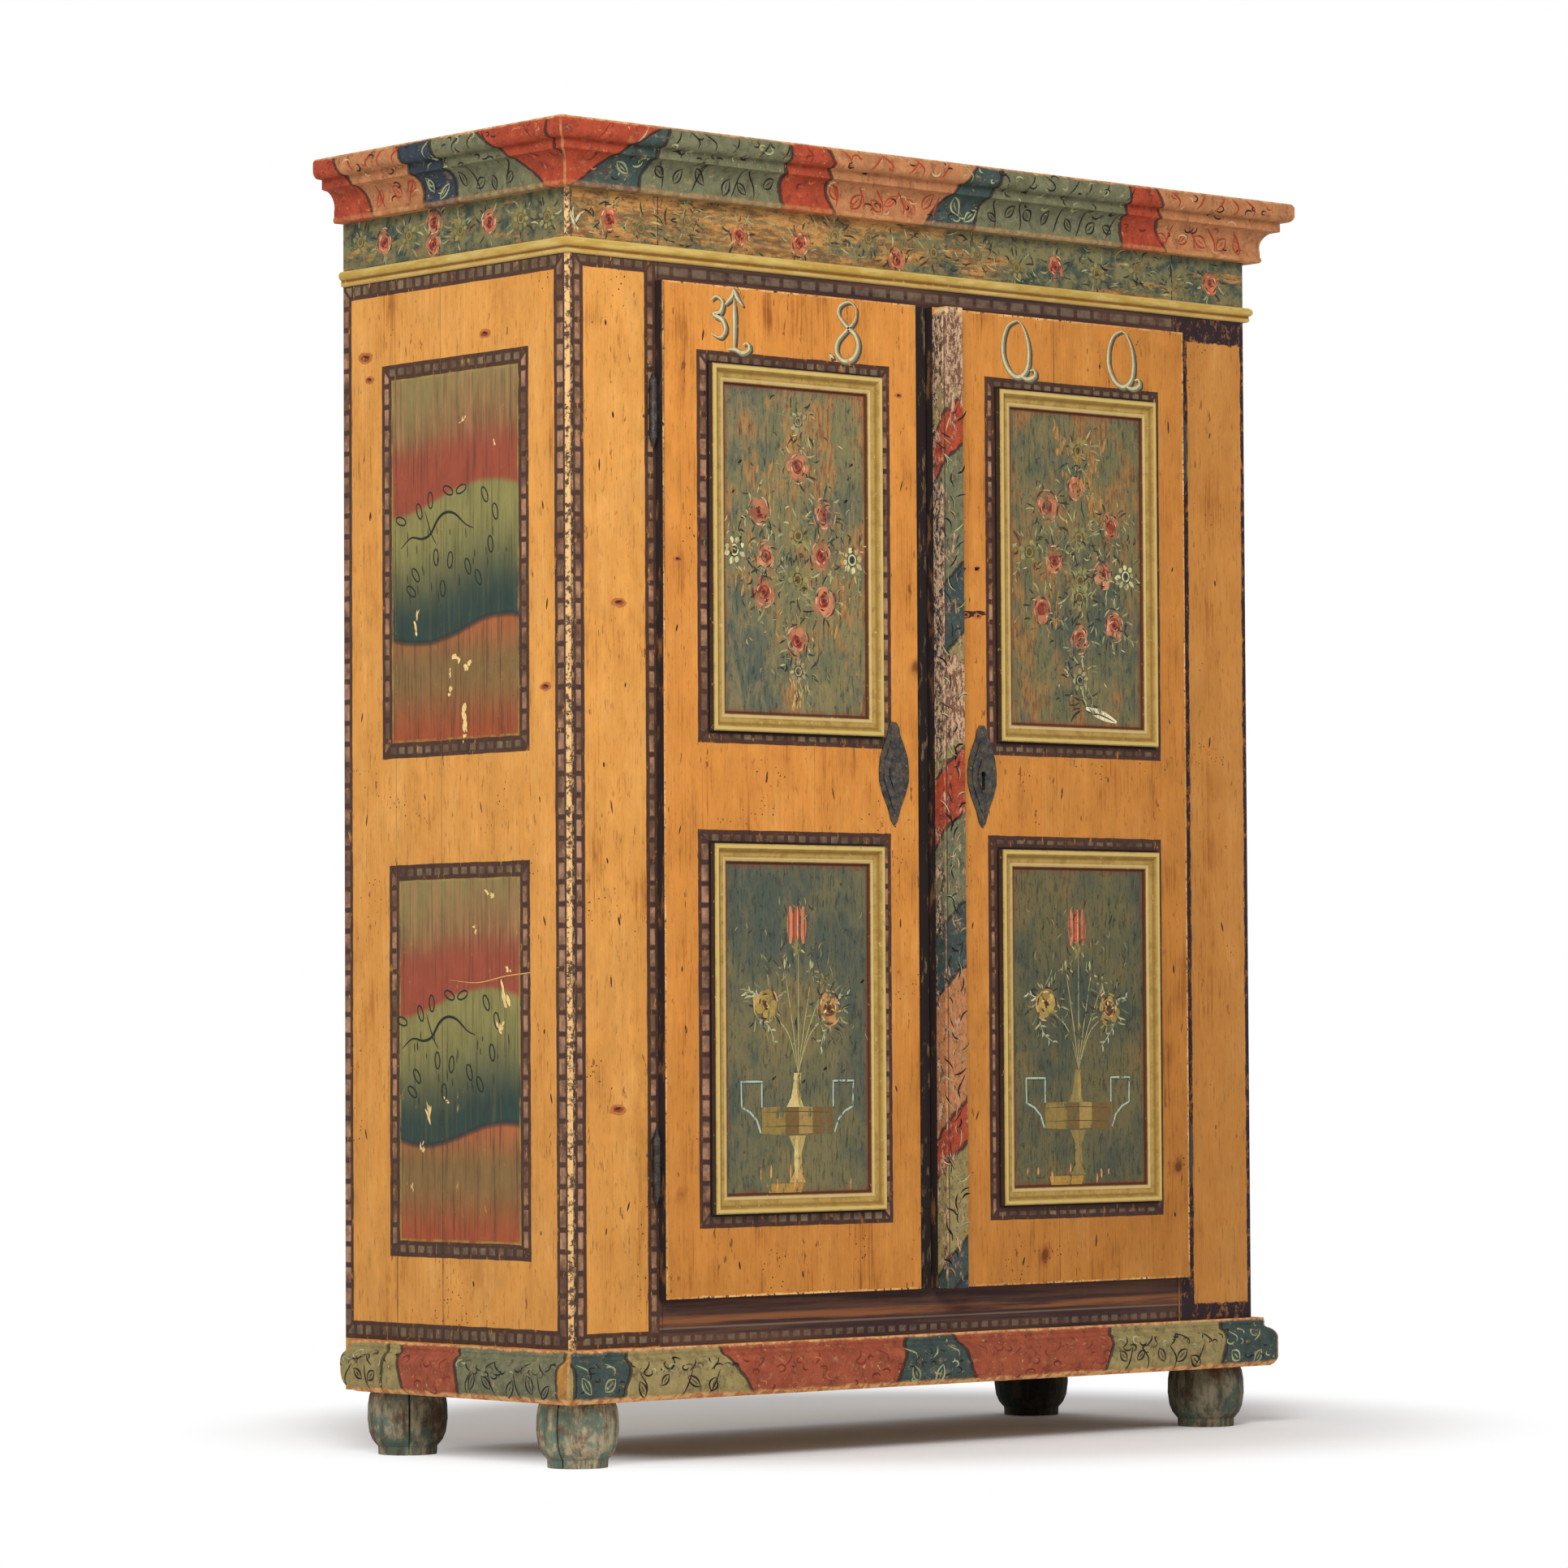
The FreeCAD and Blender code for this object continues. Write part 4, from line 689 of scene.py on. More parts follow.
def trim_paint(name, front_blocks, side_blocks, low, high, worn_low):
    """A marbled moulding, rubbed pale along its top and on its corners."""
    s = Surface(name)
    middle = (low + high) / 2
    across = marbling(s, s.x, front_blocks, middle, 20 * MM)
    along = marbling(s, s.y - FRONT, side_blocks, middle, 18 * MM)
    beyond = lowest(s.x - LEFT, RIGHT - s.x)
    corner = s.y - FRONT - beyond
    on_side = fade(corner, -0.6 * MM, 0.6 * MM) * fade(beyond, 0.6 * MM, -0.6 * MM)
    colour = blend(across, along, on_side)
    ragged = (s.grain((26, 26, 60), 4, 0.7) - 0.5) * 10 * MM
    wear = fade(s.z + ragged, high - 4.5 * MM, high - 0.5 * MM)
    wear = highest(wear, fade(s.z + ragged, low + 9 * MM, low + 4 * MM) * worn_low)
    bare = blend(rgb(222, 168, 108), rgb(180, 112, 66), s.spots(80, 3, 0.7, 0.42, 0.6))
    colour = blend(colour, bare, wear)
    on_corner = fade(
        size_of(corner) + ragged * 0.3, 3.4 * MM, 1.6 * MM,
    ) * fade(beyond, 1 * MM, -1 * MM)
    colour = blend(colour, rgb(206, 152, 100), on_corner * fade(ragged, -2 * MM, 1 * MM) * 0.6)
    chips = s.spots(110, 4, 0.7, 0.64, 0.69)
    colour = blend(colour, rgb(218, 178, 124), chips * 0.6)
    lift = s.grain(60, 5, 0.65) * 0.5 - chips * 0.3
    return s.finish(colour, 0.5 + s.grain(40, 3) * 0.25, lift, 0.6 * MM)


def strip_paint():
    """The cover strip: bands of marbling, rubbed to a salt and pepper of wood and paint."""
    s = Surface("strip_marbling")
    slip = (s.y - STRIP_LOW.y) * 1.2 - (s.x - 0.02) * 0.8
    colour = marbling(s, s.z + slip, STRIP_BANDS, 0.0, 34 * MM)
    flank = fade(s.nx, -0.4, -0.8)
    worn = highest(
        fade(s.z, 1.37, 1.46), span(s.z, 0.95, 1.07, 30 * MM),
        flank * (span(s.z, 0.94, 1.27, 40 * MM) * 0.8 + 0.4), 0.2,
    )
    speckle = s.spots((190, 190, 90), 5, 0.85, 0.45, 0.53)
    bare = blend(rgb(206, 170, 138), blend(rgb(104, 60, 50), rgb(48, 40, 44), flank), speckle)
    patch = fade(s.grain((60, 60, 26), 5, 0.7) + worn * 0.32, 0.60, 0.72)
    pepper = s.spots((220, 220, 120), 4, 0.8, 0.55, 0.63)
    colour = blend(colour, rgb(44, 36, 34), pepper * 0.6)
    colour = blend(colour, bare, patch * 0.85)
    arris = lowest(size_of(s.x - STRIP_LOW.x) + size_of(s.y - STRIP_LOW.y), STRIP_HIGH.x - s.x)
    colour = worn_edge(s, colour, arris, 1.7 * MM, 0.9)
    # Painted shade: a dark line where a groove would be, beside the strip's left arris, on the
    # front only.
    groove = fade(size_of(s.x - STRIP_LOW.x - 3 * MM), 1.4 * MM, 0.6 * MM) * (1.0 - flank)
    colour = blend(colour, rgb(70, 44, 38), groove * 0.8)
    colour = blend(
        colour, BARE_PALE,
        fade(s.z, DOOR_TOP - 16 * MM, DOOR_TOP - 4 * MM) * s.spots(90, 3, 0.5, 0.4, 0.6) * 0.7,
    )
    return s.finish(colour, 0.6 + s.grain(50, 3) * 0.2, s.grain(100, 5, 0.75), 1.0 * MM)


def frame_paint():
    """Olive mouldings of the doors: pale outside and inside, a dark groove, a dark red inner edge
    and a dark flank. The pale ridges are worn paint with a painted highlight, and the groove and
    the inner edge carry painted shade.
    """
    s = Surface("frame_olive")
    inward = highest(*(
        depth_inside(s.x, s.z, low.x, high.x, low.z, high.z) for low, high in FRAMES
    ))
    smear = s.grain((60, 60, 60), 4, 0.7)
    colour = blend(rgb(176, 144, 78), OLIVE_DARK, fade(smear, 0.42, 0.66) * 0.5)
    # Pale bands on the rounded ridges: worn paint and painted highlight; the dark band between them
    # is painted shade in the groove.
    colour = blend(colour, rgb(204, 178, 106), span(inward, 1.5 * MM, 6 * MM, 1.2 * MM) * 0.85)
    colour = blend(colour, OLIVE_DARK, span(inward, 8 * MM, 12 * MM, 2 * MM) * 0.75)
    colour = blend(colour, rgb(206, 180, 124), span(inward, 18 * MM, 22 * MM, 1.2 * MM) * 0.7)
    # The dark red inner edge: the fillet's paint, deepened as painted shade of the recess.
    colour = blend(colour, rgb(78, 42, 28), fade(inward, 22.0 * MM, 23.4 * MM) * 0.85)
    colour = blend(colour, UMBER, fade(s.ny, -0.25, -0.05) * fade(inward, 3 * MM, 1 * MM) * 0.9)
    chips = s.spots(130, 4, 0.7, 0.63, 0.69)
    colour = blend(colour, rgb(214, 178, 124), chips * 0.6)
    scratch = s.spots((90, 90, 90), 5, 0.8, 0.60, 0.70)
    colour = blend(colour, rgb(104, 70, 36), scratch * 0.5)
    return s.finish(colour, 0.42 + s.grain(60, 2) * 0.2, s.grain(120, 3) - chips * 0.4, 0.3 * MM)


def bead_paint():
    s = Surface("bead_olive")
    rise = (s.z - BEAD_LOW) / (BEAD_HIGH - BEAD_LOW)
    smear = s.grain((20, 20, 90), 4, 0.65)
    colour = blend(OLIVE, OLIVE_PALE, fade(smear, 0.4, 0.65) * 0.6)
    # Bands across the bead: the dark brown band is painted shade, and the pale top is painted
    # highlight over the olive paint.
    colour = blend(colour, rgb(118, 68, 32), span(rise, 0.26, 0.42, 0.06) * 0.9)
    colour = blend(colour, OLIVE_PALE, fade(rise, 0.78, 0.95) * 0.6)
    colour = blend(colour, rgb(206, 172, 106), fade(rise, 0.2, 0.08) * 0.6)
    chips = s.spots(100, 4, 0.7, 0.62, 0.69)
    colour = blend(colour, rgb(216, 176, 120), chips * 0.6)
    colour = blend(colour, rgb(110, 78, 40), s.spots((70, 70, 90), 4, 0.8, 0.6, 0.72) * 0.5)
    return s.finish(colour, 0.42 + s.grain(60, 2) * 0.2, s.grain(120, 3), 0.3 * MM)


def iron(name, dark, rusty, green):
    """Old blackened iron with rust and a trace of paint."""
    s = Surface(name)
    rust = s.spots(90, 5, 0.7, 0.42, 0.62)
    colour = blend(dark, rusty, rust)
    colour = blend(colour, green, s.spots(150, 4, 0.7, 0.52, 0.66) * 0.6)
    return s.finish(
        colour, 0.28 + rust * 0.3, s.grain(190, 5, 0.7), 0.7 * MM, metallic=0.4, specular=0.5,
    )


def foot_wood():
    s = Surface("foot_wood")
    streaks = s.grain((70, 70, 16), 5, 0.7)
    colour = blend(rgb(86, 84, 70), rgb(160, 150, 122), fade(streaks, 0.36, 0.60))
    colour = blend(colour, rgb(92, 56, 40), s.spots(26, 5, 0.7, 0.48, 0.64) * 0.75)
    green = fade(grain(moved(s.point, 1, 0, 0), 22, 4, 0.7), 0.50, 0.62)
    colour = blend(colour, rgb(78, 106, 94), green * 0.75)
    colour = blend(colour, rgb(176, 142, 108), s.spots(60, 5, 0.75, 0.57, 0.67) * 0.7)
    # Painted light and shade: the feet are painted lighter on the left and at the front, and
    # darkest at the back right.
    left = fade(s.x, 0.0, -0.2)
    near = fade(s.y, 0.1, -0.1)
    colour = shade(colour, left * 0.74 + near * 0.38 + 0.12 - left * near * 0.16)
    return s.finish(colour, 0.75, streaks + s.grain(90, 4, 0.7) * 0.6, 1.0 * MM)


def stroke_paint(name, ground, wear_start):
    """Paint of a brush stroke, worn through to the ground that it lies on."""
    s = Surface(name)
    attribute = s.nodes.new("ShaderNodeVertexColor")
    attribute.layer_name = "paint"
    paint = Field(attribute.outputs["Color"])
    paint = shade(paint, s.grain(160, 4, 0.7) * 0.8 + 0.6)
    worn = fade(s.grain((120, 120, 45), 4, 0.75), wear_start, wear_start + 0.1)
    colour = blend(paint, ground(s), worn)
    return s.finish(colour, 0.55, s.grain(200, 3), 0.2 * MM)


# ---------------------------------------------------------------------------------------
# Brush strokes. Places are in millimetres on a face: along it, and up from the floor.

STROKE_LIFT = 0.12 * MM
LAYER_STEP = 0.004 * MM
LAYER_COUNT = 80
# Where the search for a moulding's surface starts: in front of the case, and beside it
RAY_RUN = 0.3
SIDE_START = 1.0
# The angle of an upright stroke
UP = 1.57
# The middle of the numerals, and how much they are widened
NUMERAL_LEVEL = 1498
NUMERAL_STRETCH = 1.2
# How far the strokes of a trim run along the front, and along a side from the front face
FRONT_STRETCH = (-640, 640)
SIDE_STRETCH = (-20, 470)
chance = random.Random(7)


def front_face(y):
    return lambda u, z, lift: Vector((u * MM, y - lift, z * MM))


def side_face(sign):
    edge = RIGHT if sign > 0 else LEFT
    return lambda u, z, lift: Vector((edge + sign * lift, FRONT + u * MM, z * MM))


def moulded_face(node, side):
    """Places on a moulding, found from outside: side is 0 for the front, -1 or 1 for an end."""
    item = frame["nodes"][node]
    corners = [item.matrix_world @ vertex.co for vertex in item.data.vertices]
    tree = BVHTree.FromPolygons(corners, [tuple(face.vertices) for face in item.data.polygons])
    heading = Vector((0, 1, 0)) if side == 0 else Vector((-side, 0, 0))

    def place(u, z, lift):
        if side == 0:
            start = Vector((u * MM, FRONT - RAY_RUN, z * MM))
        else:
            start = Vector((side * SIDE_START, FRONT + u * MM, z * MM))
        hit, normal, _, _ = tree.ray_cast(start, heading)
        if hit is None:
            hit, normal, _, _ = tree.find_nearest(start + heading * RAY_RUN)
        if normal.dot(heading) > 0:
            normal = -normal
        return hit + normal * lift
    return place


def new_piece(name, corners, faces, material):
    """A mesh object of one material in the scene."""
    mesh = bpy.data.meshes.new(name)
    mesh.from_pydata(corners, [], faces)
    mesh.materials.append(material)
    piece = bpy.data.objects.new(name, mesh)
    bpy.context.scene.collection.objects.link(piece)
    return piece


def away(u, z, angle, reach, squash=1.0):
    """The place at a distance from another, at an angle."""
    return u + math.cos(angle) * reach, z + math.sin(angle) * reach * squash


def beside(u, z, angle, out, drift):
    """The place some way out along an angle, and then to the left of it."""
    ahead = (math.cos(angle), math.sin(angle))
    return (u + ahead[0] * out - ahead[1] * drift, z + ahead[1] * out + ahead[0] * drift)


def bow(u, z, angle, reach, spread, squash=1.0):
    """Three places on an arc round a middle."""
    return [away(u, z, angle + shift, reach, squash) for shift in (-spread, 0.0, spread)]


class Art:
    """Strokes of paint on one face, gathered into one thin mesh."""

    def __init__(self, name, body, slot, face, material):
        self.name = name
        self.body = body
        self.slot = slot
        self.face = face
        self.material = material
        self.points = []
        self.faces = []
        self.colours = []
        self.layer = 0

    def lay(self, places, faces, colour):
        self.layer = (self.layer + 1) % LAYER_COUNT
        lift = STROKE_LIFT + self.layer * LAYER_STEP
        start = len(self.points)
        self.points += [self.face(u, z, lift) for u, z in places]
        self.faces += [tuple(start + corner for corner in face) for face in faces]
        self.colours += [colour] * len(places)

    def patch(self, ring, colour):
        """A filled patch round its own middle."""
        count = len(ring)
        middle = (sum(u for u, _ in ring) / count, sum(z for _, z in ring) / count)
        faces = [(0, 1 + index, 1 + (index + 1) % count) for index in range(count)]
        self.lay([middle] + ring, faces, colour)

    def blob(self, u, z, radius, colour, squeeze=1.0):
        """A round dab with an uneven rim."""
        self.patch([
            away(u, z, index * math.tau / 12, radius * chance.uniform(0.85, 1.12), squeeze)
            for index in range(12)
        ], colour)

    def dab(self, u, z, angle, length, width, colour, bend=0.0):
        """A pointed dab of the brush that starts at a place and runs off at an angle."""
        there = []
        back = []
        for step in range(6):
            share = step / 5
            half = width / 2 * math.sin(math.pi * (0.08 + 0.84 * share))
            drift = bend * length * 4 * share * (1 - share)
            there.append(beside(u, z, angle, length * share, drift + half))
            back.append(beside(u, z, angle, length * share, drift - half))
        self.patch(there + back[::-1], colour)

    def line(self, path, width, colour, closed=False, smooth=True, even=False):
        """A brush line along a path, thin at its ends unless it is even or closed."""
        spots = smoothed(path, closed) if smooth else sliced(path)
        count = len(spots)
        places = []
        for index, (u, z) in enumerate(spots):
            before = spots[index - 1] if index > 0 or closed else spots[0]
            after = spots[(index + 1) % count] if index < count - 1 or closed else spots[-1]
            run, rise = after[0] - before[0], after[1] - before[1]
            length = math.hypot(run, rise) or 1.0
            half = width / 2
            if not (closed or even):
                half *= 0.25 + 0.75 * math.sin(math.pi * index / (count - 1))
            places.append((u - rise / length * half, z + run / length * half))
            places.append((u + rise / length * half, z - run / length * half))
        faces = []
        for index in range(count if closed else count - 1):
            a, b = 2 * index, 2 * ((index + 1) % count)
            faces.append((a, a + 1, b + 1, b))
        self.lay(places, faces, colour)

    def ring(self, u, z, across, up, width, colour, turn=0.0):
        """The outline of an oval."""
        path = []
        for index in range(8):
            angle = index * math.tau / 8
            path.append(beside(u, z, turn, math.cos(angle) * across, math.sin(angle) * up))
        self.line(path, width, colour, closed=True)

    def finish(self):
        piece = new_piece(self.name, self.points, self.faces, self.material)
        paint = piece.data.color_attributes.new("paint", "FLOAT_COLOR", "POINT")
        for spot, colour in zip(paint.data, self.colours):
            spot.color = (*colour, 1.0)
        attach(piece, self.body)


def smoothed(path, closed):
    """More places on a smooth curve through a path."""
    count = len(path)
    spots = []
    stretches = count if closed else count - 1
    for index in range(stretches):
        if closed:
            p, q, r, t = (path[(index + shift) % count] for shift in (-1, 0, 1, 2))
        else:
            p, q, r, t = (path[min(max(index + shift, 0), count - 1)] for shift in (-1, 0, 1, 2))
        pieces = max(2, min(8, round(math.dist(q, r) / 4)))
        for step in range(pieces):
            share = step / pieces
            spots.append(tuple(
                0.5 * (2 * b + (c - a) * share + (2 * a - 5 * b + 4 * c - d) * share ** 2
                       + (3 * b - a - 3 * c + d) * share ** 3)
                for a, b, c, d in zip(p, q, r, t)
            ))
    if not closed:
        spots.append(path[-1])
    return spots


def sliced(path):
    """A path with straight stretches, each cut into short steps."""
    spots = []
    for start, end in zip(path, path[1:]):
        for step in range(4):
            spots.append(tuple(a + (b - a) * step / 4 for a, b in zip(start, end)))
    return spots + [path[-1]]


def tint(colour, spread=0.15):
    """A colour made a little lighter or darker by chance."""
    factor = 1 + chance.uniform(-spread, spread)
    return tuple(channel * factor for channel in colour)


ROSE_PINK = rgb(174, 112, 80)
ROSE_PALE = rgb(206, 156, 120)
ROSE_RED = rgb(142, 58, 46)
ROSE_DARK = rgb(84, 34, 32)
YELLOW = rgb(188, 158, 78)
YELLOW_GREEN = rgb(134, 126, 76)
WHITE_PAINT = rgb(196, 190, 150)
DARK_LEAF = rgb(46, 56, 50)
DIM_PETAL = rgb(160, 152, 112)
PALE_PETAL = rgb(200, 194, 142)


def pick(value):
    """One of a list, a number between the ends of a pair, or else the value itself."""
    if isinstance(value, list):
        return chance.choice(value)
    if isinstance(value, tuple) and len(value) == 2:
        return chance.uniform(*value)
    return value


def scatter(art, count, place, angle, length, width, colours, spread=0.2, bend=0.0):
    """Dabs by chance. Each draws its place, angle, length, width, colour and bend in turn."""
    for _ in range(count):
        art.dab(
            *place(), pick(angle), pick(length), pick(width), tint(pick(colours), spread),
            pick(bend),
        )


def rose(art, u, z, size, petal=ROSE_PINK, heart=ROSE_RED):
    """A rose: petals round a dark heart, with a few light and dark strokes in it."""
    turn = chance.uniform(0, 1)
    for index in range(7):
        angle = turn + index * math.tau / 7 + chance.uniform(-0.3, 0.3)
        spot = away(u, z, angle, size * chance.uniform(0.42, 0.6), 1.1)
        art.blob(*spot, size * chance.uniform(0.22, 0.34), tint(petal, 0.3))
    for index in range(14):
        angle = turn + index * math.tau / 14 + chance.uniform(-0.3, 0.3)
        path = bow(u, z, angle, size * chance.uniform(0.4, 0.92), 0.35, 1.1)
        light = ROSE_PALE if index % 3 == 1 else petal
        art.line(path, size * 0.11, tint(light, 0.25) if index % 3 else ROSE_DARK)
    art.blob(u, z, size * 0.42, tint(heart))
    for index in range(4):
        path = bow(u, z, turn + index * 1.6, size * 0.28, 0.9)
        art.line(path, size * 0.09, ROSE_DARK if index % 2 else tint(petal))
    art.blob(u, z, size * 0.12, ROSE_DARK)


def daisy(art, u, z, size, petal=WHITE_PAINT, heart=DARK_LEAF):
    """An open flower: single petals round a ringed heart."""
    turn = chance.uniform(0, 1)
    for index in range(8):
        angle = turn + index * math.tau / 8
        art.dab(
            *away(u, z, angle, size * 0.38), angle + chance.uniform(-0.4, 0.4),
            size * chance.uniform(0.3, 0.52), size * chance.uniform(0.24, 0.4), tint(petal, 0.3),
        )
    art.blob(u, z, size * 0.4, heart)
    art.ring(u, z, size * 0.26, size * 0.28, size * 0.1, tint(petal))


def spray(art, u, z, angle, length, colour, leaf=9.0):
    """A bent stem with small leaves on both sides."""
    bend = chance.uniform(-0.18, 0.18)

    def on_stem(share):
        return beside(u, z, angle, length * share, bend * length * 4 * share * (1 - share))

    art.line([on_stem(share) for share in (0.0, 0.5, 1.0)], 1.3, colour)
    leaf_count = max(2, int(length / 7))
    for index in range(leaf_count):
        side = 1 if index % 2 else -1
        art.dab(
            *on_stem((index + 0.6) / leaf_count), angle + side * 0.8,
            leaf * chance.uniform(0.7, 1.2), 2.6, tint(colour, 0.25), 0.1,
        )


def tufts(art, u, z, start, count, colours, length=15.0):
    """Loose leaf strokes that stand out round a flower."""
    for index in range(count):
        angle = index * math.tau / count + chance.uniform(-0.4, 0.4)
        art.dab(
            *away(u, z, angle, start * chance.uniform(1.0, 1.3)),
            angle + chance.uniform(-0.7, 0.7), length * chance.uniform(0.5, 1.1), 2.8,
            tint(chance.choice(colours), 0.2), chance.uniform(-0.15, 0.15),
        )


def marks(name, body, slot, face, ground, knots, ticks):
    """Reddish knots and dark knocks in the wood."""
    art = Art(name, body, slot, face, stroke_paint(name, ground, 0.60))
    for u, z, wide in knots:
        art.blob(u, z, wide * 0.5, rgb(178, 108, 56), 0.5)
        art.blob(u + 1, z, wide * 0.3, rgb(138, 70, 40), 0.45)
        art.dab(u - wide * 0.2, z, 0.2, wide * 0.4, 3, rgb(66, 30, 24))
    for spot in ticks:
        scatter(art, 1, lambda: spot, (1.2, 1.9), (6, 18), (2.0, 3.4), rgb(62, 34, 22))
    art.finish()


def paint_marks():
    """Knots and knocks on the doors, the front frame and the sides."""
    orange = lambda s: orange_wood(s)[0]
    honey = lambda s: honey_wood(s)[0]
    door = ("door_pine", front_face(DOOR_FACE), orange)
    marks("left_door_marks", "left_door", *door, [(-452, 1180, 16), (-60, 1420, 14)], [
        (-408, 1470), (-404, 1398), (-455, 1085), (-448, 640), (-58, 1290), (-440, 560),
        (-62, 700), (-300, 890), (-180, 870), (-90, 905), (-452, 820), (-350, 250), (-240, 236),
        (-70, 480),
    ])
    knots = [(56, 1189, 12), (82, 1191, 14), (62, 1128, 14), (84, 1127, 16)]
    marks("right_door_marks", "right_door", *door, knots, [
        (246, 1450), (320, 1482), (454, 1400), (458, 1205), (452, 990), (240, 880), (330, 905),
        (70, 700), (456, 640), (75, 440), (300, 262), (160, 240), (455, 300),
    ])
    paint = stroke_paint("bruise", orange, 0.62)
    art = Art("bruise", "right_door", "door_pine", front_face(DOOR_FACE), paint)
    for start, rise, length in ((44, 1130, 40), (58, 1127, 42), (48, 1125, 24), (74, 1132, 24)):
        art.dab(start, rise, chance.uniform(-0.1, 0.1), length, 5, tint(rgb(74, 34, 34), 0.15))
    for start, rise in ((50, 1189), (76, 1191)):
        art.dab(start, rise, 0.2, 13, 5, rgb(78, 32, 24))
    art.finish()
    case = ("carcass", "case_pine")
    marks("stile_marks", *case, front_face(FRONT), honey, [(-545, 462, 30), (-540, 1120, 26)], [
        (-560, 1480), (-548, 1360), (-572, 1290), (-530, 1010), (-566, 905), (-552, 845),
        (-560, 780), (-540, 700), (-555, 620), (-530, 330), (-566, 300), (550, 1400),
        (560, 1190), (545, 960), (570, 700), (552, 420),
    ])
    knots = [(428, 1470, 34), (420, 1440, 22), (170, 1480, 26), (46, 1010, 26)]
    for name, sign in (("left_side_marks", -1), ("right_side_marks", 1)):
        marks(name, *case, side_face(sign), honey, knots, [
            (50, 1240), (44, 1110), (58, 860), (300, 870), (180, 850), (430, 840), (440, 980),
            (52, 560), (36, 470), (430, 420), (60, 300), (200, 230), (420, 1250), (48, 700),
        ])


def holes(art, places):
    """Dark knocks and nail holes in the paint."""
    for u, z in places:
        art.dab(u - 3, z - 2, 0.6, 8, 3.6, rgb(30, 18, 16))


LEAF_COLOURS = [LEAF, rgb(112, 118, 86), rgb(168, 160, 112), DARK_LEAF, rgb(58, 50, 40)]


def smears(art, u, z, wide, high):
    """Ochre showing where the ground is rubbed through, in short upright dabs."""
    def spot():
        return u + chance.gauss(0, wide / 2), z + chance.gauss(0, high / 2)

    scatter(art, 16, spot, (UP - 0.3, UP + 0.3), (8, 22), (2, 5), rgb(170, 122, 66))


def garland(art, roses, daisies, buds):
    """The tall bunch of flowers of an upper door panel."""
    places = roses + daisies + buds
    middle = sum(place[0] for place in places) / len(places)

    def near_flower():
        u, z = chance.choice(places)
        return u + chance.gauss(0, 24), z + chance.gauss(0, 26)

    for u, z in places:
        tufts(art, u, z, 20, 11, LEAF_COLOURS, 19)
        spray(art, u + chance.choice((-14, 14)), z - 10, chance.uniform(0, math.tau), 34, LEAF, 8)
    for u, z in roses:
        rose(art, u, z, chance.uniform(20, 24), tint(ROSE_PINK, 0.2))
    for u, z in daisies:
        central = abs(u - middle) < 40
        daisy(art, u, z, 20 if central else 24, DIM_PETAL if central else PALE_PETAL)
    for u, z in buds:
        daisy(art, u, z, 24, YELLOW_GREEN, rgb(92, 74, 44))
    touches = [
        DARK_LEAF, DARK_LEAF, LEAF, rgb(176, 146, 96), rgb(58, 40, 32), rgb(190, 178, 130),
    ]
    scatter(
        art, 260, near_flower, (0, math.tau), (5, 13), 1.8, touches, bend=(-0.3, 0.3),
    )


def tulip(art, middle):
    """Thin stems with two buds, and a striped tulip on the tallest."""
    stem = rgb(172, 160, 108)
    mouth = middle + 1, 507
    for across, top in ((-22, 645), (2, 672), (26, 640), (48, 626), (-52, 590), (66, 588)):
        bend = (mouth[0] + across * 0.35, 560)
        art.line([mouth, bend, (middle + across, top)], 1.5, stem)
        tufts(art, middle + across, top, 5, 4, (stem, LEAF), 9)
    for across, top in ((-22, 647), (24, 646)):
        art.dab(middle + across, top - 2, 1.6, 13, 3.4, rgb(176, 172, 132))
    for shift, width, colour in (
        (-13, 12, rgb(188, 126, 88)), (12, 12, rgb(184, 116, 80)), (0, 14, rgb(174, 90, 62)),
        (-16, 2.4, ROSE_RED), (-7, 3, ROSE_RED), (6, 2.6, ROSE_DARK), (15, 2.4, ROSE_RED),
        (1, 2, ROSE_PALE),
    ):
        art.dab(middle + shift * 0.9, 678, UP, 50, width, tint(colour, 0.08))
    art.dab(middle, 664, UP, 20, 12, YELLOW_GREEN)


def urn(art, middle, dim):
    """A footed urn with a square grip on each side; when dim, its neck and foot are painted darker
    as painted shade.
    """
    def patch(ring, colour):
        art.patch([(middle + u, z) for u, z in ring], colour)

    patch([(-63, 462), (-22, 463), (-22, 425), (-63, 427)], rgb(140, 116, 62))
    patch([(-22, 463), (62, 461), (62, 426), (-22, 425)], rgb(112, 88, 52))
    patch([(2, 463), (26, 462), (26, 427), (2, 426)], tint(rgb(156, 128, 74), 0.05))
    for level in (455, 436):
        path = [(middle - 62, level), (middle, level + 1), (middle + 60, level - 1)]
        art.line(path, 1.2, rgb(82, 62, 38))
    neck = [(-7, 507), (6, 507), (5, 490), (3, 478), (10, 462), (-20, 462), (-12, 474), (-8, 490)]
    # When dim, the neck and the foot are painted darker: painted shade.
    patch(neck, tint(rgb(140, 122, 74) if dim else rgb(198, 178, 118), 0.02))
    art.dab(middle + 3, 464, 1.6, 40, 7, rgb(164, 134, 72))
    foot = [(-16, 424), (14, 424), (6, 400), (8, 372), (14, 362), (-16, 362), (-7, 376), (-4, 400)]
    patch(foot, rgb(134, 116, 68) if dim else rgb(176, 150, 88))
    art.dab(middle - 3, 362, UP, 62, 8, rgb(140, 120, 70) if dim else rgb(200, 180, 116))
    patch([(-56, 361), (10, 361), (6, 349), (-52, 349)], rgb(170, 130, 62))
    grip = [(65, 428), (72, 445), (84, 456), (98, 462), (99, 496), (63, 496), (63, 462)]
    for side in (-1, 1):
        for part, right, down, width, colour in (
            (grip, 0.0, 0, 2.6, rgb(168, 186, 168)), (grip[3:], 1.5, 2, 1.0, DARK_LEAF),
        ):
            path = [(middle + side * u + right, z - down) for u, z in part]
            art.line(path, width, colour, smooth=False, even=True)


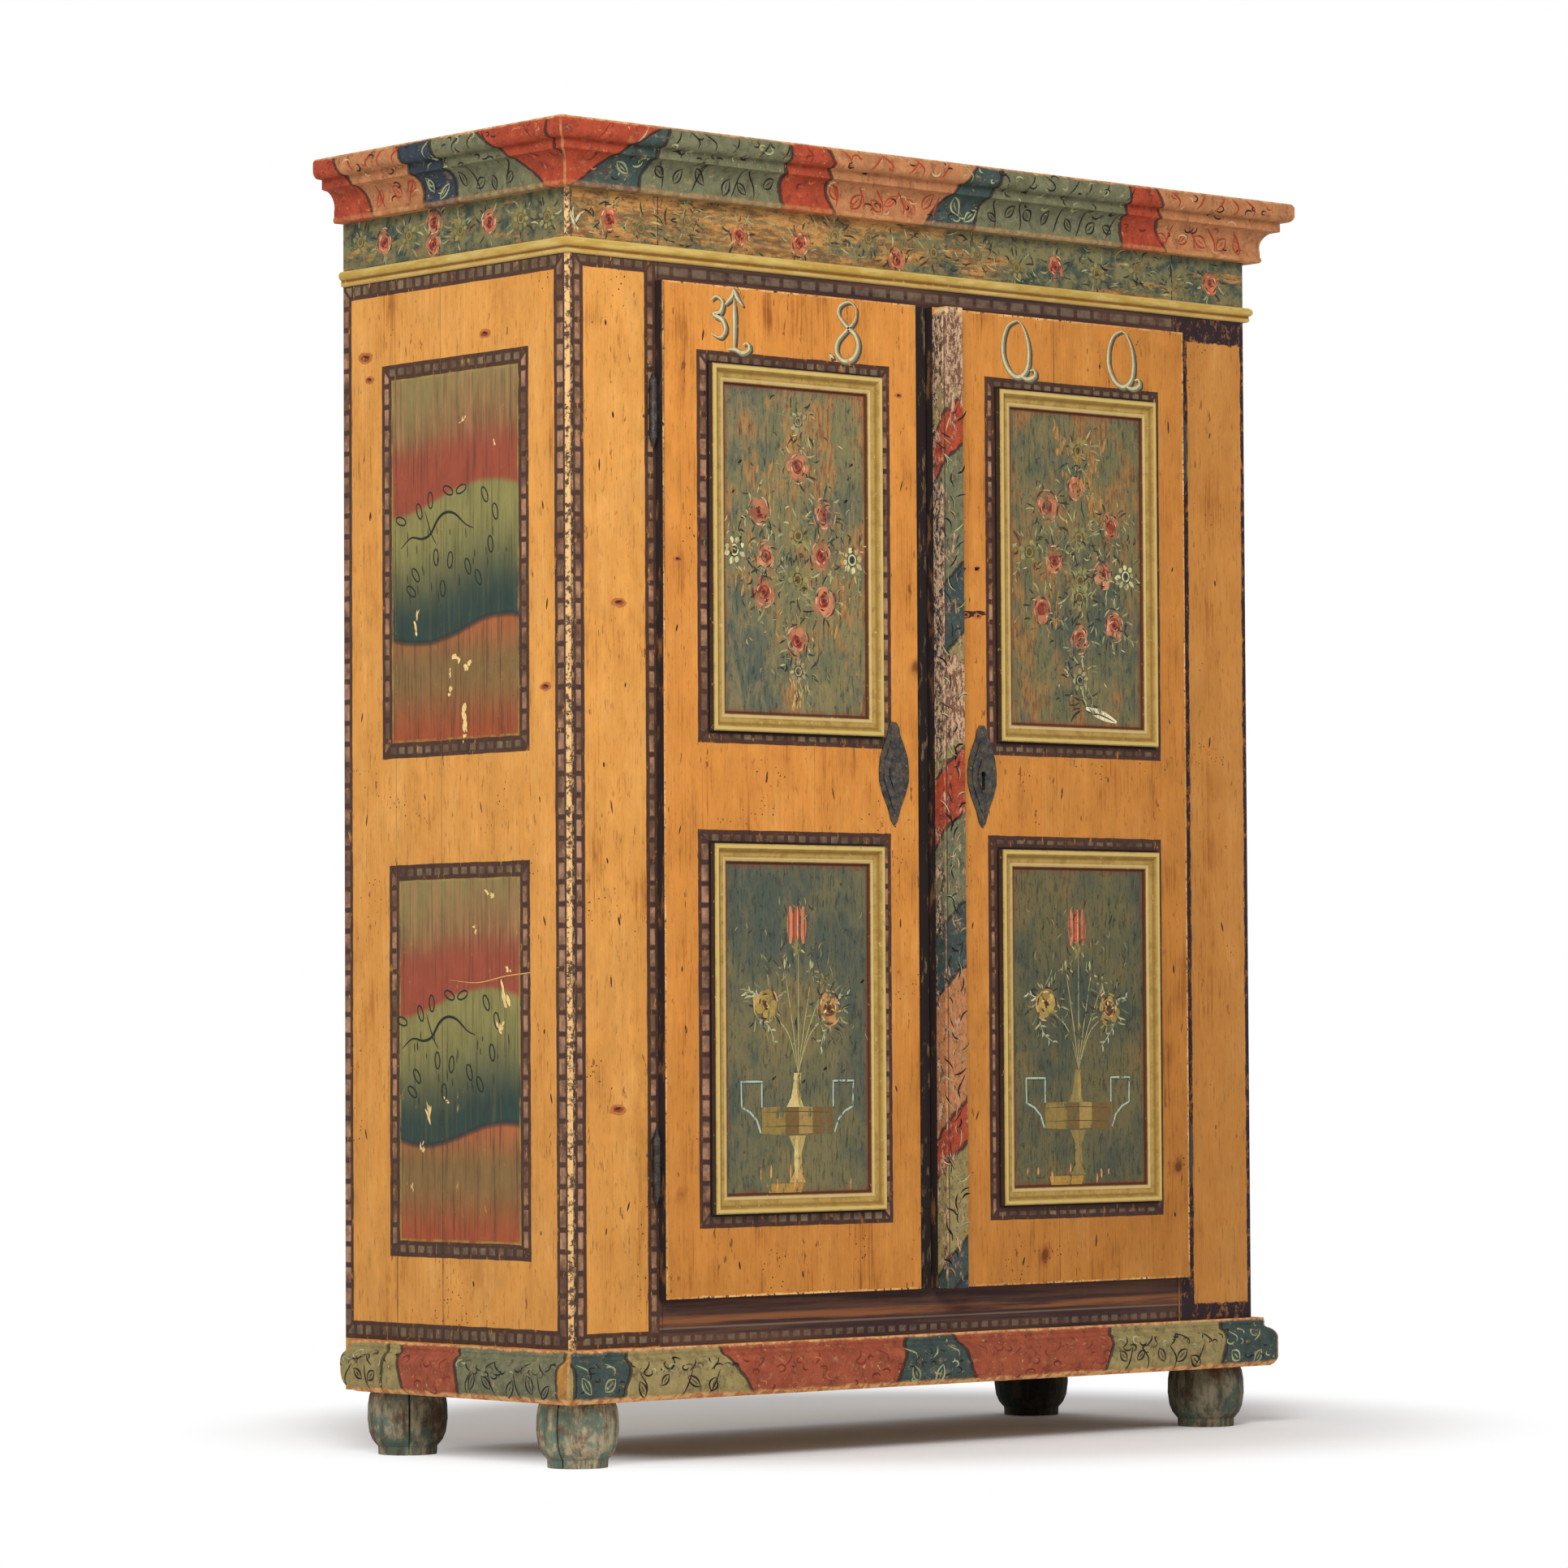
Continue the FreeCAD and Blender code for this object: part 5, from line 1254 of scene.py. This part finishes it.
def bouquet(art, middle, spread, dim):
    """A lower door panel: an urn with a tulip, two open flowers and thin stems."""
    tulip(art, middle)
    for side, level in ((-1, 598), (1, 592)):
        u = middle + side * spread
        tufts(art, u, level, 18, 9, LEAF_COLOURS, 17)
        tufts(art, u, level, 22, 12, LEAF_COLOURS, 20)
        petal = rgb(162, 136, 72) if side < 0 or dim else rgb(168, 122, 72)
        rose(art, u, level, 25, petal, rgb(96, 62, 40))
        tufts(art, u, level, 4, 6, (YELLOW, CREAM), 9)
        spray(art, u + side * 14, level - 18, UP + side * 2.45, 46, rgb(170, 172, 138))
        spray(art, u + side * 8, level + 6, UP - side * 1.25, 30, rgb(186, 190, 160))
    urn(art, middle, dim)
    touches = [DARK_LEAF, LEAF, rgb(150, 134, 84), rgb(58, 44, 34)]
    scatter(
        art, 90, lambda: (middle + chance.gauss(0, 55), chance.uniform(540, 730)), (0.6, 2.6),
        (6, 16), 1.7, touches, bend=(-0.2, 0.2),
    )
    scatter(
        art, 9, lambda: (middle + chance.uniform(-100, 96), chance.uniform(348, 366)), UP,
        (8, 24), 3.4, rgb(196, 140, 84),
    )


def paint_panels():
    """The flowers and urns inside the four door mouldings."""
    material = stroke_paint("panel_strokes", panel_ground, 0.53)
    face = front_face(DOOR_FACE)
    art = Art("left_upper_flowers", "left_door", "door_pine", face, material)
    for spot in (
        (-298, 1286, 20, 34), (-252, 1328, 14, 24), (-330, 1180, 24, 60), (-170, 1110, 20, 60),
    ):
        smears(art, *spot)
    garland(
        art,
        [
            (-243, 1313), (-311, 1250), (-196, 1251), (-300, 1191), (-201, 1196), (-304, 1143),
            (-197, 1136), (-244, 1080),
        ],
        [(-241, 1373), (-354, 1197), (-146, 1193), (-243, 1040)],
        [(-242, 1221), (-243, 1162)],
    )
    holes(art, [(-340, 1337), (-344, 1314), (-356, 1274), (-147, 1320), (-151, 1302), (-157, 1271)])
    scatter(
        art, 22, lambda: (chance.gauss(-243, 7), chance.uniform(985, 1026)),
        (UP - 0.3, UP + 0.3), (6, 16), 2.2, rgb(178, 148, 92), 0.25,
    )
    art.finish()
    art = Art("right_upper_flowers", "right_door", "door_pine", face, material)
    for spot in (
        (243, 1372, 20, 26), (310, 1350, 26, 36), (272, 1322, 30, 24), (308, 1288, 20, 24),
        (230, 1130, 20, 40),
    ):
        smears(art, *spot)
    garland(
        art,
        [
            (272, 1313), (216, 1284), (338, 1262), (230, 1210), (324, 1195), (205, 1142),
            (344, 1125), (277, 1104),
        ],
        [(367, 1194), (277, 1046)],
        [(277, 1365), (277, 1243), (182, 1220), (279, 1184), (277, 1160)],
    )
    art.dab(288, 1008, -0.3, 62, 13, rgb(230, 216, 176))
    art.line([(300, 1002), (320, 998), (344, 990)], 2.2, DARK_LEAF)
    tufts(art, 284, 1012, 8, 10, LEAF_COLOURS, 26)
    art.finish()
    art = Art("left_lower_flowers", "left_door", "door_pine", face, material)
    bouquet(art, -248, 56, False)
    holes(art, [(-132, 628), (-290, 500), (-199, 512), (-168, 508), (-238, 495)])
    art.finish()
    art = Art("right_lower_flowers", "right_door", "door_pine", face, material)
    bouquet(art, 268, 60, True)
    art.finish()


NUMERAL_PATHS = {
    "1": [
        [(0, -38), (0, 0), (0, 30)],
        [(-13, 22), (-3, 34), (0, 42), (3, 34), (13, 22)],
        [(-10, -38), (0, -36), (12, -40), (22, -34), (19, -26), (13, -30)],
        [
            (-33, 26), (-26, 32), (-17, 26), (-20, 12), (-30, 8), (-18, 2), (-13, -11), (-20, -22),
            (-33, -18),
        ],
    ],
    "8": [
        [
            (14, 34), (4, 42), (-10, 36), (-13, 24), (-2, 10), (12, -2), (16, -18), (8, -34),
            (-6, -38), (-16, -28), (-14, -12), (0, 4), (12, 18), (14, 34),
        ],
        [(-20, -36), (-26, -32), (-24, -38)],
    ],
    "0": [
        [
            (2, 40), (-12, 32), (-20, 12), (-20, -12), (-10, -32), (4, -38), (16, -28), (20, -8),
            (18, 14), (10, 34), (2, 40),
        ],
        [(6, -36), (18, -40), (30, -34), (28, -26), (22, -28)],
    ],
}


def paint_numerals():
    """Plain round-year numerals across the tops of the doors, cream with a blue-grey shade."""
    material = stroke_paint("numeral_strokes", lambda s: orange_wood(s)[0], 0.60)
    face = front_face(DOOR_FACE)
    coats = (
        (3.0, -2.0, 9.0, rgb(80, 66, 50)), (0.0, 0.0, 8.6, rgb(120, 124, 104)),
        (-1.2, 0.6, 4.2, rgb(208, 188, 138)),
    )
    for name, body, row in (
        ("left_numerals", "left_door", (("1", -352), ("8", -152))),
        ("right_numerals", "right_door", (("0", 160), ("0", 362))),
    ):
        art = Art(name, body, "door_pine", face, material)
        for figure, middle in row:
            for right, up, width, colour in coats:
                for path in NUMERAL_PATHS[figure]:
                    art.line([
                        (middle + u * NUMERAL_STRETCH + right, NUMERAL_LEVEL + z + up)
                        for u, z in path
                    ], width, colour)
        art.finish()


# Across from the front face in millimetres, and up as a share of the panel's height
SIDE_TWIG = [
    (352, 0.53), (330, 0.555), (306, 0.55), (288, 0.56), (272, 0.595), (256, 0.61), (236, 0.605),
    (212, 0.575), (196, 0.565),
]
SIDE_LEAVES = [
    (352, 0.60, 0.3), (312, 0.62, 1.2), (288, 0.645, 1.5), (250, 0.665, 0.4), (222, 0.665, -0.3),
    (172, 0.645, 1.1), (150, 0.60, 1.3), (276, 0.50, 1.5), (246, 0.49, 1.7), (208, 0.47, 1.2),
    (186, 0.44, 1.1), (320, 0.46, 0.9), (262, 0.42, 1.5), (160, 0.52, 1.4), (330, 0.42, 0.6),
]


def side_leaves(art, low_z, high_z):
    """Black leaf outlines and a twig on the green hill of a side panel."""
    rise = high_z - low_z

    def speck():
        return chance.uniform(120, 350), low_z + rise * chance.uniform(0.38, 0.56)

    for path, width, colour in (
        (SIDE_TWIG, 4.0, rgb(36, 40, 34)),
        ([(300, 0.62), (286, 0.56), (274, 0.53)], 2.0, BLACK_PAINT),
    ):
        art.line([(u, low_z + rise * share) for u, share in path], width, colour)
    for u, share, turn in SIDE_LEAVES:
        art.ring(u, low_z + rise * share, 11, 5.2, 2.2, rgb(36, 44, 36), turn)
    scatter(art, 24, speck, 1.5, (6, 16), 1.8, rgb(50, 56, 42), 0.3)


def scratches(art, places):
    """Places where the paint has come off down to pale ground."""
    for u, z, length, width, turn in places:
        def spot():
            along, up = away(u, z, turn, length * chance.uniform(0.0, 1.0))
            return along + chance.gauss(0, width * 0.3), up

        scatter(
            art, 7, spot, (turn - 0.7, turn + 0.7), (length * 0.2, length * 0.5),
            (width * 0.3, width * 0.8), rgb(226, 194, 128), 0.12,
        )


def paint_sides():
    """Leaf outlines, scratches and one long scrape on the painted panels of both sides."""
    material = stroke_paint("side_strokes", lambda s: rgb(96, 98, 66), 0.62)
    for name, sign in (("left_side_strokes", -1), ("right_side_strokes", 1)):
        art = Art(name, "carcass", "case_pine", side_face(sign), material)
        for _, _, low, high in SIDE_PANELS:
            side_leaves(art, low / MM, high / MM)
        scratches(art, [
            (226, 1366, 12, 4, 2.6), (318, 1086, 30, 6, 1.55), (222, 1050, 18, 12, 0.5),
            (214, 1038, 14, 10, 2.2),
            (246, 1006, 16, 5, 1.6), (246, 1028, 14, 4, 1.5), (216, 956, 34, 13, 1.6),
            (216, 940, 12, 6, 1.5),
            (148, 1330, 8, 3, 1.0), (128, 590, 40, 10, 1.3), (142, 560, 22, 8, 1.7),
            (120, 640, 12, 6, 0.6),
            (292, 440, 34, 5, 1.5), (310, 402, 16, 4, 1.6), (250, 470, 12, 4, 0.4),
            (190, 690, 14, 4, 1.0),
            (150, 740, 18, 5, 0.3), (330, 350, 12, 3, 1.5),
        ])
        if sign < 0:
            scrape = [(250, 632), (190, 628), (130, 636), (78, 640), (20, 646)]
            art.line(scrape, 1.4, rgb(214, 164, 96))
        art.finish()


def frieze_row(art, row, rose_petal, daisy_petal):
    for u, z, kind in row:
        tufts(art, u, z, 15, 9, LEAF_COLOURS, 17)
        if kind == "rose":
            rose(art, u, z, 20, rose_petal)
        else:
            daisy(art, u, z, 20, daisy_petal, rgb(104, 84, 50))


def paint_friezes():
    """The band of flowers under the cornice."""
    ground = lambda s: frieze_ground(s, s.front_on())
    strong = stroke_paint("frieze_strokes", ground, 0.56)
    faint = stroke_paint("worn_frieze_strokes", ground, 0.53)
    row = [
        (440, 1628, "daisy"), (386, 1622, "rose"), (332, 1626, "daisy"), (278, 1638, "rose"),
        (280, 1608, "rose"),
        (222, 1622, "daisy"), (160, 1626, "rose"), (94, 1624, "daisy"), (40, 1620, "daisy"),
    ]
    for name, sign in (("left_frieze_flowers", -1), ("right_frieze_flowers", 1)):
        art = Art(name, "carcass", "case_pine", side_face(sign), strong)
        frieze_row(art, row, ROSE_PINK, YELLOW_GREEN)
        art.finish()
    art = Art("front_frieze_flowers", "carcass", "case_pine", front_face(FRONT), faint)
    frieze_row(art, [
        (-554, 1619, "rose"), (-500, 1612, "daisy"), (-420, 1628, "daisy"), (-330, 1616, "rose"),
        (-224, 1615, "rose"),
        (-160, 1630, "daisy"), (-99, 1632, "daisy"), (-48, 1607, "rose"), (20, 1622, "daisy"),
        (103, 1625, "daisy"),
        (176, 1614, "daisy"), (250, 1620, "rose"), (330, 1618, "daisy"), (408, 1632, "daisy"),
        (486, 1612, "daisy"),
        (553, 1621, "rose"),
    ], rgb(178, 104, 70), rgb(128, 116, 74))
    scatter(
        art, 170, lambda: (chance.uniform(-600, 600), chance.uniform(1596, 1652)), (-0.5, 3.6),
        (8, 24), 2.0, LEAF_COLOURS, bend=(-0.2, 0.2),
    )
    for u, turn in ((-612, 1.0), (-606, 1.8), (-600, 2.2)):
        art.dab(u, 1600, turn, 32, 4, WHITE_PAINT, 0.15)
    art.finish()


def leaf_outline(art, u, z, length, width, colour, turn):
    """A leaf drawn as two bows that meet in points, with a rib."""
    for side in (-1, 1):
        art.line([
            beside(u, z, turn, length * share, side * width * (1 - share * share))
            for share in (-1.0, -0.5, 0.0, 0.5, 1.0)
        ], 2.8, colour)
    art.dab(*away(u, z, turn, -length * 0.5), turn, length, 1.6, colour)


def leaves(art, start, end, levels, colour, pitch, size=9.0):
    """A row of leaf outlines at the given heights, leaning to either side."""
    place = start + pitch * 0.5
    lean = 1
    while place < end - pitch * 0.3:
        leaf_outline(
            art, place, chance.choice(levels) + chance.uniform(-3, 3),
            size * chance.uniform(1.0, 1.5), size * chance.uniform(0.5, 0.8), tint(colour, 0.25),
            UP + lean * chance.uniform(0.35, 1.1),
        )
        place += pitch * chance.uniform(0.8, 1.5)
        lean = -lean


def squiggles(art, start, end, low, high, colour, pitch, width=3.0):
    """Bent strokes across a moulding."""
    place = start + pitch * 0.4
    while place < end - pitch * 0.2:
        lean = chance.choice((-1, 1)) * chance.uniform(9, 20)
        path = [(place, low), (place + lean * 0.3 + 5, (low + high) / 2), (place + lean, high)]
        art.line(path, width, tint(colour))
        place += pitch * chance.uniform(0.7, 1.3)


def curls(art, start, end, low, high, colours, pitch):
    """Small hooks and loops in a row, some dark and some pale."""
    place = start + pitch * 0.5
    while place < end:
        z = chance.uniform(low, high)
        reach = chance.uniform(4, 9)
        turn = chance.uniform(0, math.tau)
        sweep = chance.uniform(1.6, 4.6)
        path = [away(place, z, turn + sweep * share / 4, reach, 0.6) for share in range(5)]
        art.line(path, 2.4, tint(chance.choice(colours), 0.2))
        place += pitch * chance.uniform(0.5, 1.2)


RING_CREAM = rgb(158, 160, 118)
STROKE_RED = rgb(168, 62, 40)


def trim_strokes(art, blocks, cove, crown, first, last):
    """Leaf outlines, squiggles and curls in each marbled block, by its colour."""
    middle = (cove[0] + cove[1]) / 2
    levels = (middle - 5, middle + 4)
    starts = [first] + [end for end, _, _ in blocks]
    for begin, (end, colour, _) in zip(starts, blocks):
        stretch = (art, max(begin, first) + 6, min(end, last) - 6)
        if colour in (SAGE, BUFF):
            dark = [BLACK_PAINT, BLACK_PAINT, rgb(92, 84, 56), RING_CREAM]
            leaves(*stretch, levels, BLACK_PAINT, 34)
            squiggles(*stretch, cove[0] - 2, cove[1] + 4, BLACK_PAINT, 54, 2.4)
            squiggles(*stretch, *crown, BLACK_PAINT, 40, 2.4)
            curls(*stretch, cove[1], crown[1], dark, 11)
        elif colour in (TEAL, BLUE):
            leaves(*stretch, levels, RING_CREAM, 30, 10)
            squiggles(*stretch, *crown, RING_CREAM, 40, 2.2)
            curls(*stretch, cove[0], crown[1], [BLACK_PAINT, RING_CREAM], 10)
        elif colour == SALMON:
            warm = [STROKE_RED, rgb(206, 168, 120), BLACK_PAINT]
            leaves(*stretch, levels, STROKE_RED, 28, 10)
            squiggles(*stretch, *cove, STROKE_RED, 46)
            squiggles(*stretch, *crown, STROKE_RED, 34)
            curls(*stretch, cove[0], crown[1], warm, 12)
        elif colour in (RED, BRICK):
            reds = [rgb(108, 42, 34), rgb(120, 46, 34), rgb(180, 96, 64)]
            squiggles(*stretch, *crown, rgb(116, 44, 34), 60, 1.8)
            curls(*stretch, cove[0], crown[1], reds, 16)


def paint_trim():
    """Strokes on the cornice, the plinth and the cover strip."""
    material = stroke_paint("trim_strokes", lambda s: rgb(120, 108, 78), 0.62)
    for piece, side in (("front", 0), ("left", -1), ("right", 1)):
        ends = FRONT_STRETCH if side == 0 else SIDE_STRETCH
        for trim, front_blocks, side_blocks, cove, crown in (
            ("cornice", CORNICE_FRONT, CORNICE_SIDE, (1666, 1696), (1716, 1736)),
            ("plinth", PLINTH_FRONT, PLINTH_SIDE, (92, 118), (122, 136)),
        ):
            face = moulded_face(f"{trim}_{piece}", side)
            art = Art(f"{trim}_{piece}_strokes", "carcass", "marbled_trim", face, material)
            trim_strokes(art, side_blocks if side else front_blocks, cove, crown, *ends)
            art.finish()
    art = Art("strip_strokes", "right_door", "marbled_trim", front_face(STRIP_LOW.y), material)
    colours = [BLACK_PAINT, BLACK_PAINT, RING_CREAM, rgb(190, 150, 108)]
    for level in range(230, 1400, 8):
        if chance.random() < 0.8:
            scatter(
                art, 1, lambda: (chance.uniform(8, 30), level), (0.2, 2.8), (12, 26), 2.0,
                colours, 0.3, (-0.25, 0.25),
            )
    art.finish()


def studs(name, body, material, places):
    """Small domed nail heads, turned from one profile: middles and radii."""
    corners = []
    faces = []
    profile = ((1.0, 0.0), (0.94, 0.35), (0.7, 0.75), (0.35, 0.95))
    sides = 10
    for x, y, z, radius in places:
        start = len(corners)
        for reach, rise in profile:
            for index in range(sides):
                across, up = away(x, z, index * math.tau / sides, radius * reach)
                corners.append((across * MM, (y - rise * radius * 0.6) * MM, up * MM))
        corners.append((x * MM, (y - radius * 0.62) * MM, z * MM))
        corners.append((x * MM, (y + radius * 0.5) * MM, z * MM))
        tip = len(corners) - 2
        for row in range(len(profile) - 1):
            for index in range(sides):
                a = start + row * sides + index
                b = start + row * sides + (index + 1) % sides
                faces.append((a, b, b + sides, a + sides))
        rim = start + (len(profile) - 1) * sides
        for index in range(sides):
            following = (index + 1) % sides
            faces.append((rim + index, rim + following, tip))
            faces.append((start + following, start + index, tip + 1))
    piece = new_piece(name, corners, faces, material)
    piece.data.shade_smooth()
    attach(piece, body)


# ---------------------------------------------------------------------------------------
# Dress the frame

HINGE_IRON = iron("hinge_iron", rgb(34, 32, 34), rgb(62, 52, 46), rgb(84, 84, 84))
PLATE_IRON = iron("plate_iron", rgb(38, 36, 36), rgb(84, 72, 54), rgb(92, 98, 98))
NAIL_IRON = iron("nail_iron", rgb(96, 88, 74), rgb(84, 70, 54), rgb(140, 132, 110))
CORNICE = trim_paint(
    "cornice_marbling", CORNICE_FRONT, CORNICE_SIDE, CORNICE_LOW, CORNICE_HIGH, 0.3,
)
PLINTH = trim_paint("plinth_marbling", PLINTH_FRONT, PLINTH_SIDE, CASE_LOW, PLINTH_TOP, 1.0)
BY_SLOT = {
    "foot_wood": foot_wood(),
    "bare_pine": bare_pine("bare_pine", False),
    "case_pine": case_paint(),
    "door_pine": door_paint(),
    "olive_trim": frame_paint(),
    "iron": HINGE_IRON,
}
LEVEL_PINE = bare_pine("level_pine", True)
BY_NAME = {
    "shelf": LEVEL_PINE,
    "top_boards": LEVEL_PINE,
    "floor_boards": LEVEL_PINE,
    "batten": LEVEL_PINE,
    "cornice": CORNICE,
    "plinth": PLINTH,
    "bead": bead_paint(),
    "astragal": strip_paint(),
    "left_escutcheon": PLATE_IRON,
    "right_escutcheon": PLATE_IRON,
}


# The least angle and the width of an edge that is softened. The flats of a foot are rounded
# into each other, from a smaller angle on and by a share of each flat.
EDGE_ANGLE = 35
EDGE_WIDTH = 0.6 * MM
FLAT_ANGLE = 6
FLAT_SHARE = 30


def dress_nodes():
    """Gives every node its material, and softens its edges."""
    for row in frame["record"]["subparts"]:
        name = row["node"]
        item = frame["nodes"][name]
        words = name.split("_")
        keys = [key for key in (name, words[0], words[-1]) if key in BY_NAME]
        material = BY_NAME[keys[0]] if keys else BY_SLOT[row["material_slot"]]
        item.data.materials.clear()
        item.data.materials.append(material)
        soften = item.modifiers.new("soft_edges", "BEVEL")
        soften.limit_method = "ANGLE"
        soften.angle_limit = math.radians(EDGE_ANGLE)
        soften.width = EDGE_WIDTH
        soften.segments = 2
        if name.startswith("foot_") and name != "foot_blocks":
            soften.angle_limit = math.radians(FLAT_ANGLE)
            soften.offset_type = "PERCENT"
            soften.width_pct = FLAT_SHARE
            soften.segments = 3


dress_nodes()
paint_panels()
paint_marks()
paint_numerals()
paint_sides()
paint_friezes()
paint_trim()
HINGE_FACE = FRONT / MM
PLATE_FACE = DOOR_FACE / MM - 1.6
studs("frame_nails", "carcass", NAIL_IRON, [
    (-485, HINGE_FACE, 1432, 2.8), (-496, HINGE_FACE, 1366, 2.4), (-494, HINGE_FACE, 1338, 2.2),
    (-494, HINGE_FACE, 372, 2.4), (-496, HINGE_FACE, 402, 2.2), (502, HINGE_FACE, 1366, 2.2),
    (502, HINGE_FACE, 380, 2.2),
])
studs("left_plate_nails", "left_door", NAIL_IRON, [
    (-95, PLATE_FACE, 919, 2.2), (-51, PLATE_FACE, 919, 2.2), (-73, PLATE_FACE, 968, 2.0),
    (-73, PLATE_FACE, 852, 1.8),
])
studs("right_plate_nails", "right_door", NAIL_IRON, [
    (67.5, PLATE_FACE, 919, 2.2), (111.5, PLATE_FACE, 919, 2.2), (89.5, PLATE_FACE, 968, 2.0),
    (89.5, PLATE_FACE, 852, 1.8),
])


# ---------------------------------------------------------------------------------------
# Stage, light and camera

def seen_by_camera(tree):
    """One for rays from the camera and for glossy rays."""
    path = tree.nodes.new("ShaderNodeLightPath")
    names = ("Is Camera Ray", "Is Glossy Ray")
    return path, highest(*(Field(path.outputs[name]) for name in names))


FLOOR_REACH = 40.0
FLOOR_WHITE = (0.98, 0.98, 0.98)
# Where the floor's shading ends in plain white: the middle, and the distances from it
FLOOR_MIDDLE = (0.25, 0.2)
FLOOR_FADE = (0.62, 1.0)
ROOM_LIGHT = 0.55
KEY_POWER = 190
KEY_SIZE = 2.2
KEY_PLACE = Vector((-3.4, -3.4, 3.6))
KEY_AIM = Vector((0, 0, 0.9))
CAMERA_PLACE = (-5.529, -6.232, 0.562)
CAMERA_ANGLES = (41.2222, 2.3506, -0.3035)
CAMERA_LENS = 138.36


def make_stage():
    s = Surface("floor")
    for name, value in (
        ("Base Color", FLOOR_WHITE), ("Roughness", 0.9), ("Specular IOR Level", 0.0),
    ):
        feed(s.shader.inputs[name], value)
    tree = s.material.node_tree
    glow = tree.nodes.new("ShaderNodeEmission")
    off_x, off_y = s.x - FLOOR_MIDDLE[0], s.y - FLOOR_MIDDLE[1]
    far = work("SQRT", off_x * off_x + off_y * off_y)
    mix = tree.nodes.new("ShaderNodeMixShader")
    feed(mix.inputs[0], fade(far, *FLOOR_FADE) * seen_by_camera(tree)[1])
    tree.links.new(s.shader.outputs[0], mix.inputs[1])
    tree.links.new(glow.outputs[0], mix.inputs[2])
    tree.links.new(mix.outputs[0], tree.nodes["Material Output"].inputs["Surface"])
    sides = ((-1, -1), (1, -1), (1, 1), (-1, 1))
    corners = [(x * FLOOR_REACH, y * FLOOR_REACH, 0) for x, y in sides]
    floor = new_piece("floor", corners, [(0, 1, 2, 3)], s.material)


def make_light():
    """A white room that lights softly, and a large lamp at the front left."""
    scene = bpy.context.scene
    world = bpy.data.worlds.new("studio")
    world.use_nodes = True
    scene.world = world
    back = world.node_tree.nodes["Background"]
    back.inputs["Color"].default_value = (1, 1, 1, 1)
    path, seen = seen_by_camera(world.node_tree)
    seen = highest(seen, Field(path.outputs["Is Transmission Ray"]))
    feed(back.inputs["Strength"], ROOM_LIGHT + seen * (1.0 - ROOM_LIGHT))
    key = bpy.data.lights.new("key", "AREA")
    key.energy = KEY_POWER
    key.shape = "DISK"
    key.size = KEY_SIZE
    lamp = bpy.data.objects.new("key", key)
    scene.collection.objects.link(lamp)
    lamp.location = KEY_PLACE
    lamp.rotation_euler = (KEY_AIM - KEY_PLACE).to_track_quat("-Z", "Y").to_euler()


def make_camera():
    """The photograph's camera, as it was fitted to the edges of the case."""
    yaw, pitch, roll = (math.radians(angle) for angle in CAMERA_ANGLES)
    ahead = Vector((math.sin(yaw), math.cos(yaw), math.tan(pitch))) * math.cos(pitch)
    level = Vector((math.cos(yaw), -math.sin(yaw), 0))
    up = level.cross(ahead)
    right = level * math.cos(roll) + up * math.sin(roll)
    over = up * math.cos(roll) - level * math.sin(roll)
    data = bpy.data.cameras.new("camera")
    data.sensor_width = 36.0
    data.lens = CAMERA_LENS
    data.clip_end = 200.0
    camera = bpy.data.objects.new("camera", data)
    bpy.context.scene.collection.objects.link(camera)
    turn = Matrix((right, over, -ahead)).transposed().to_4x4()
    camera.matrix_world = Matrix.Translation(CAMERA_PLACE) @ turn
    bpy.context.scene.camera = camera


make_stage()
make_light()
make_camera()
bpy.context.scene.view_settings.view_transform = "Standard"
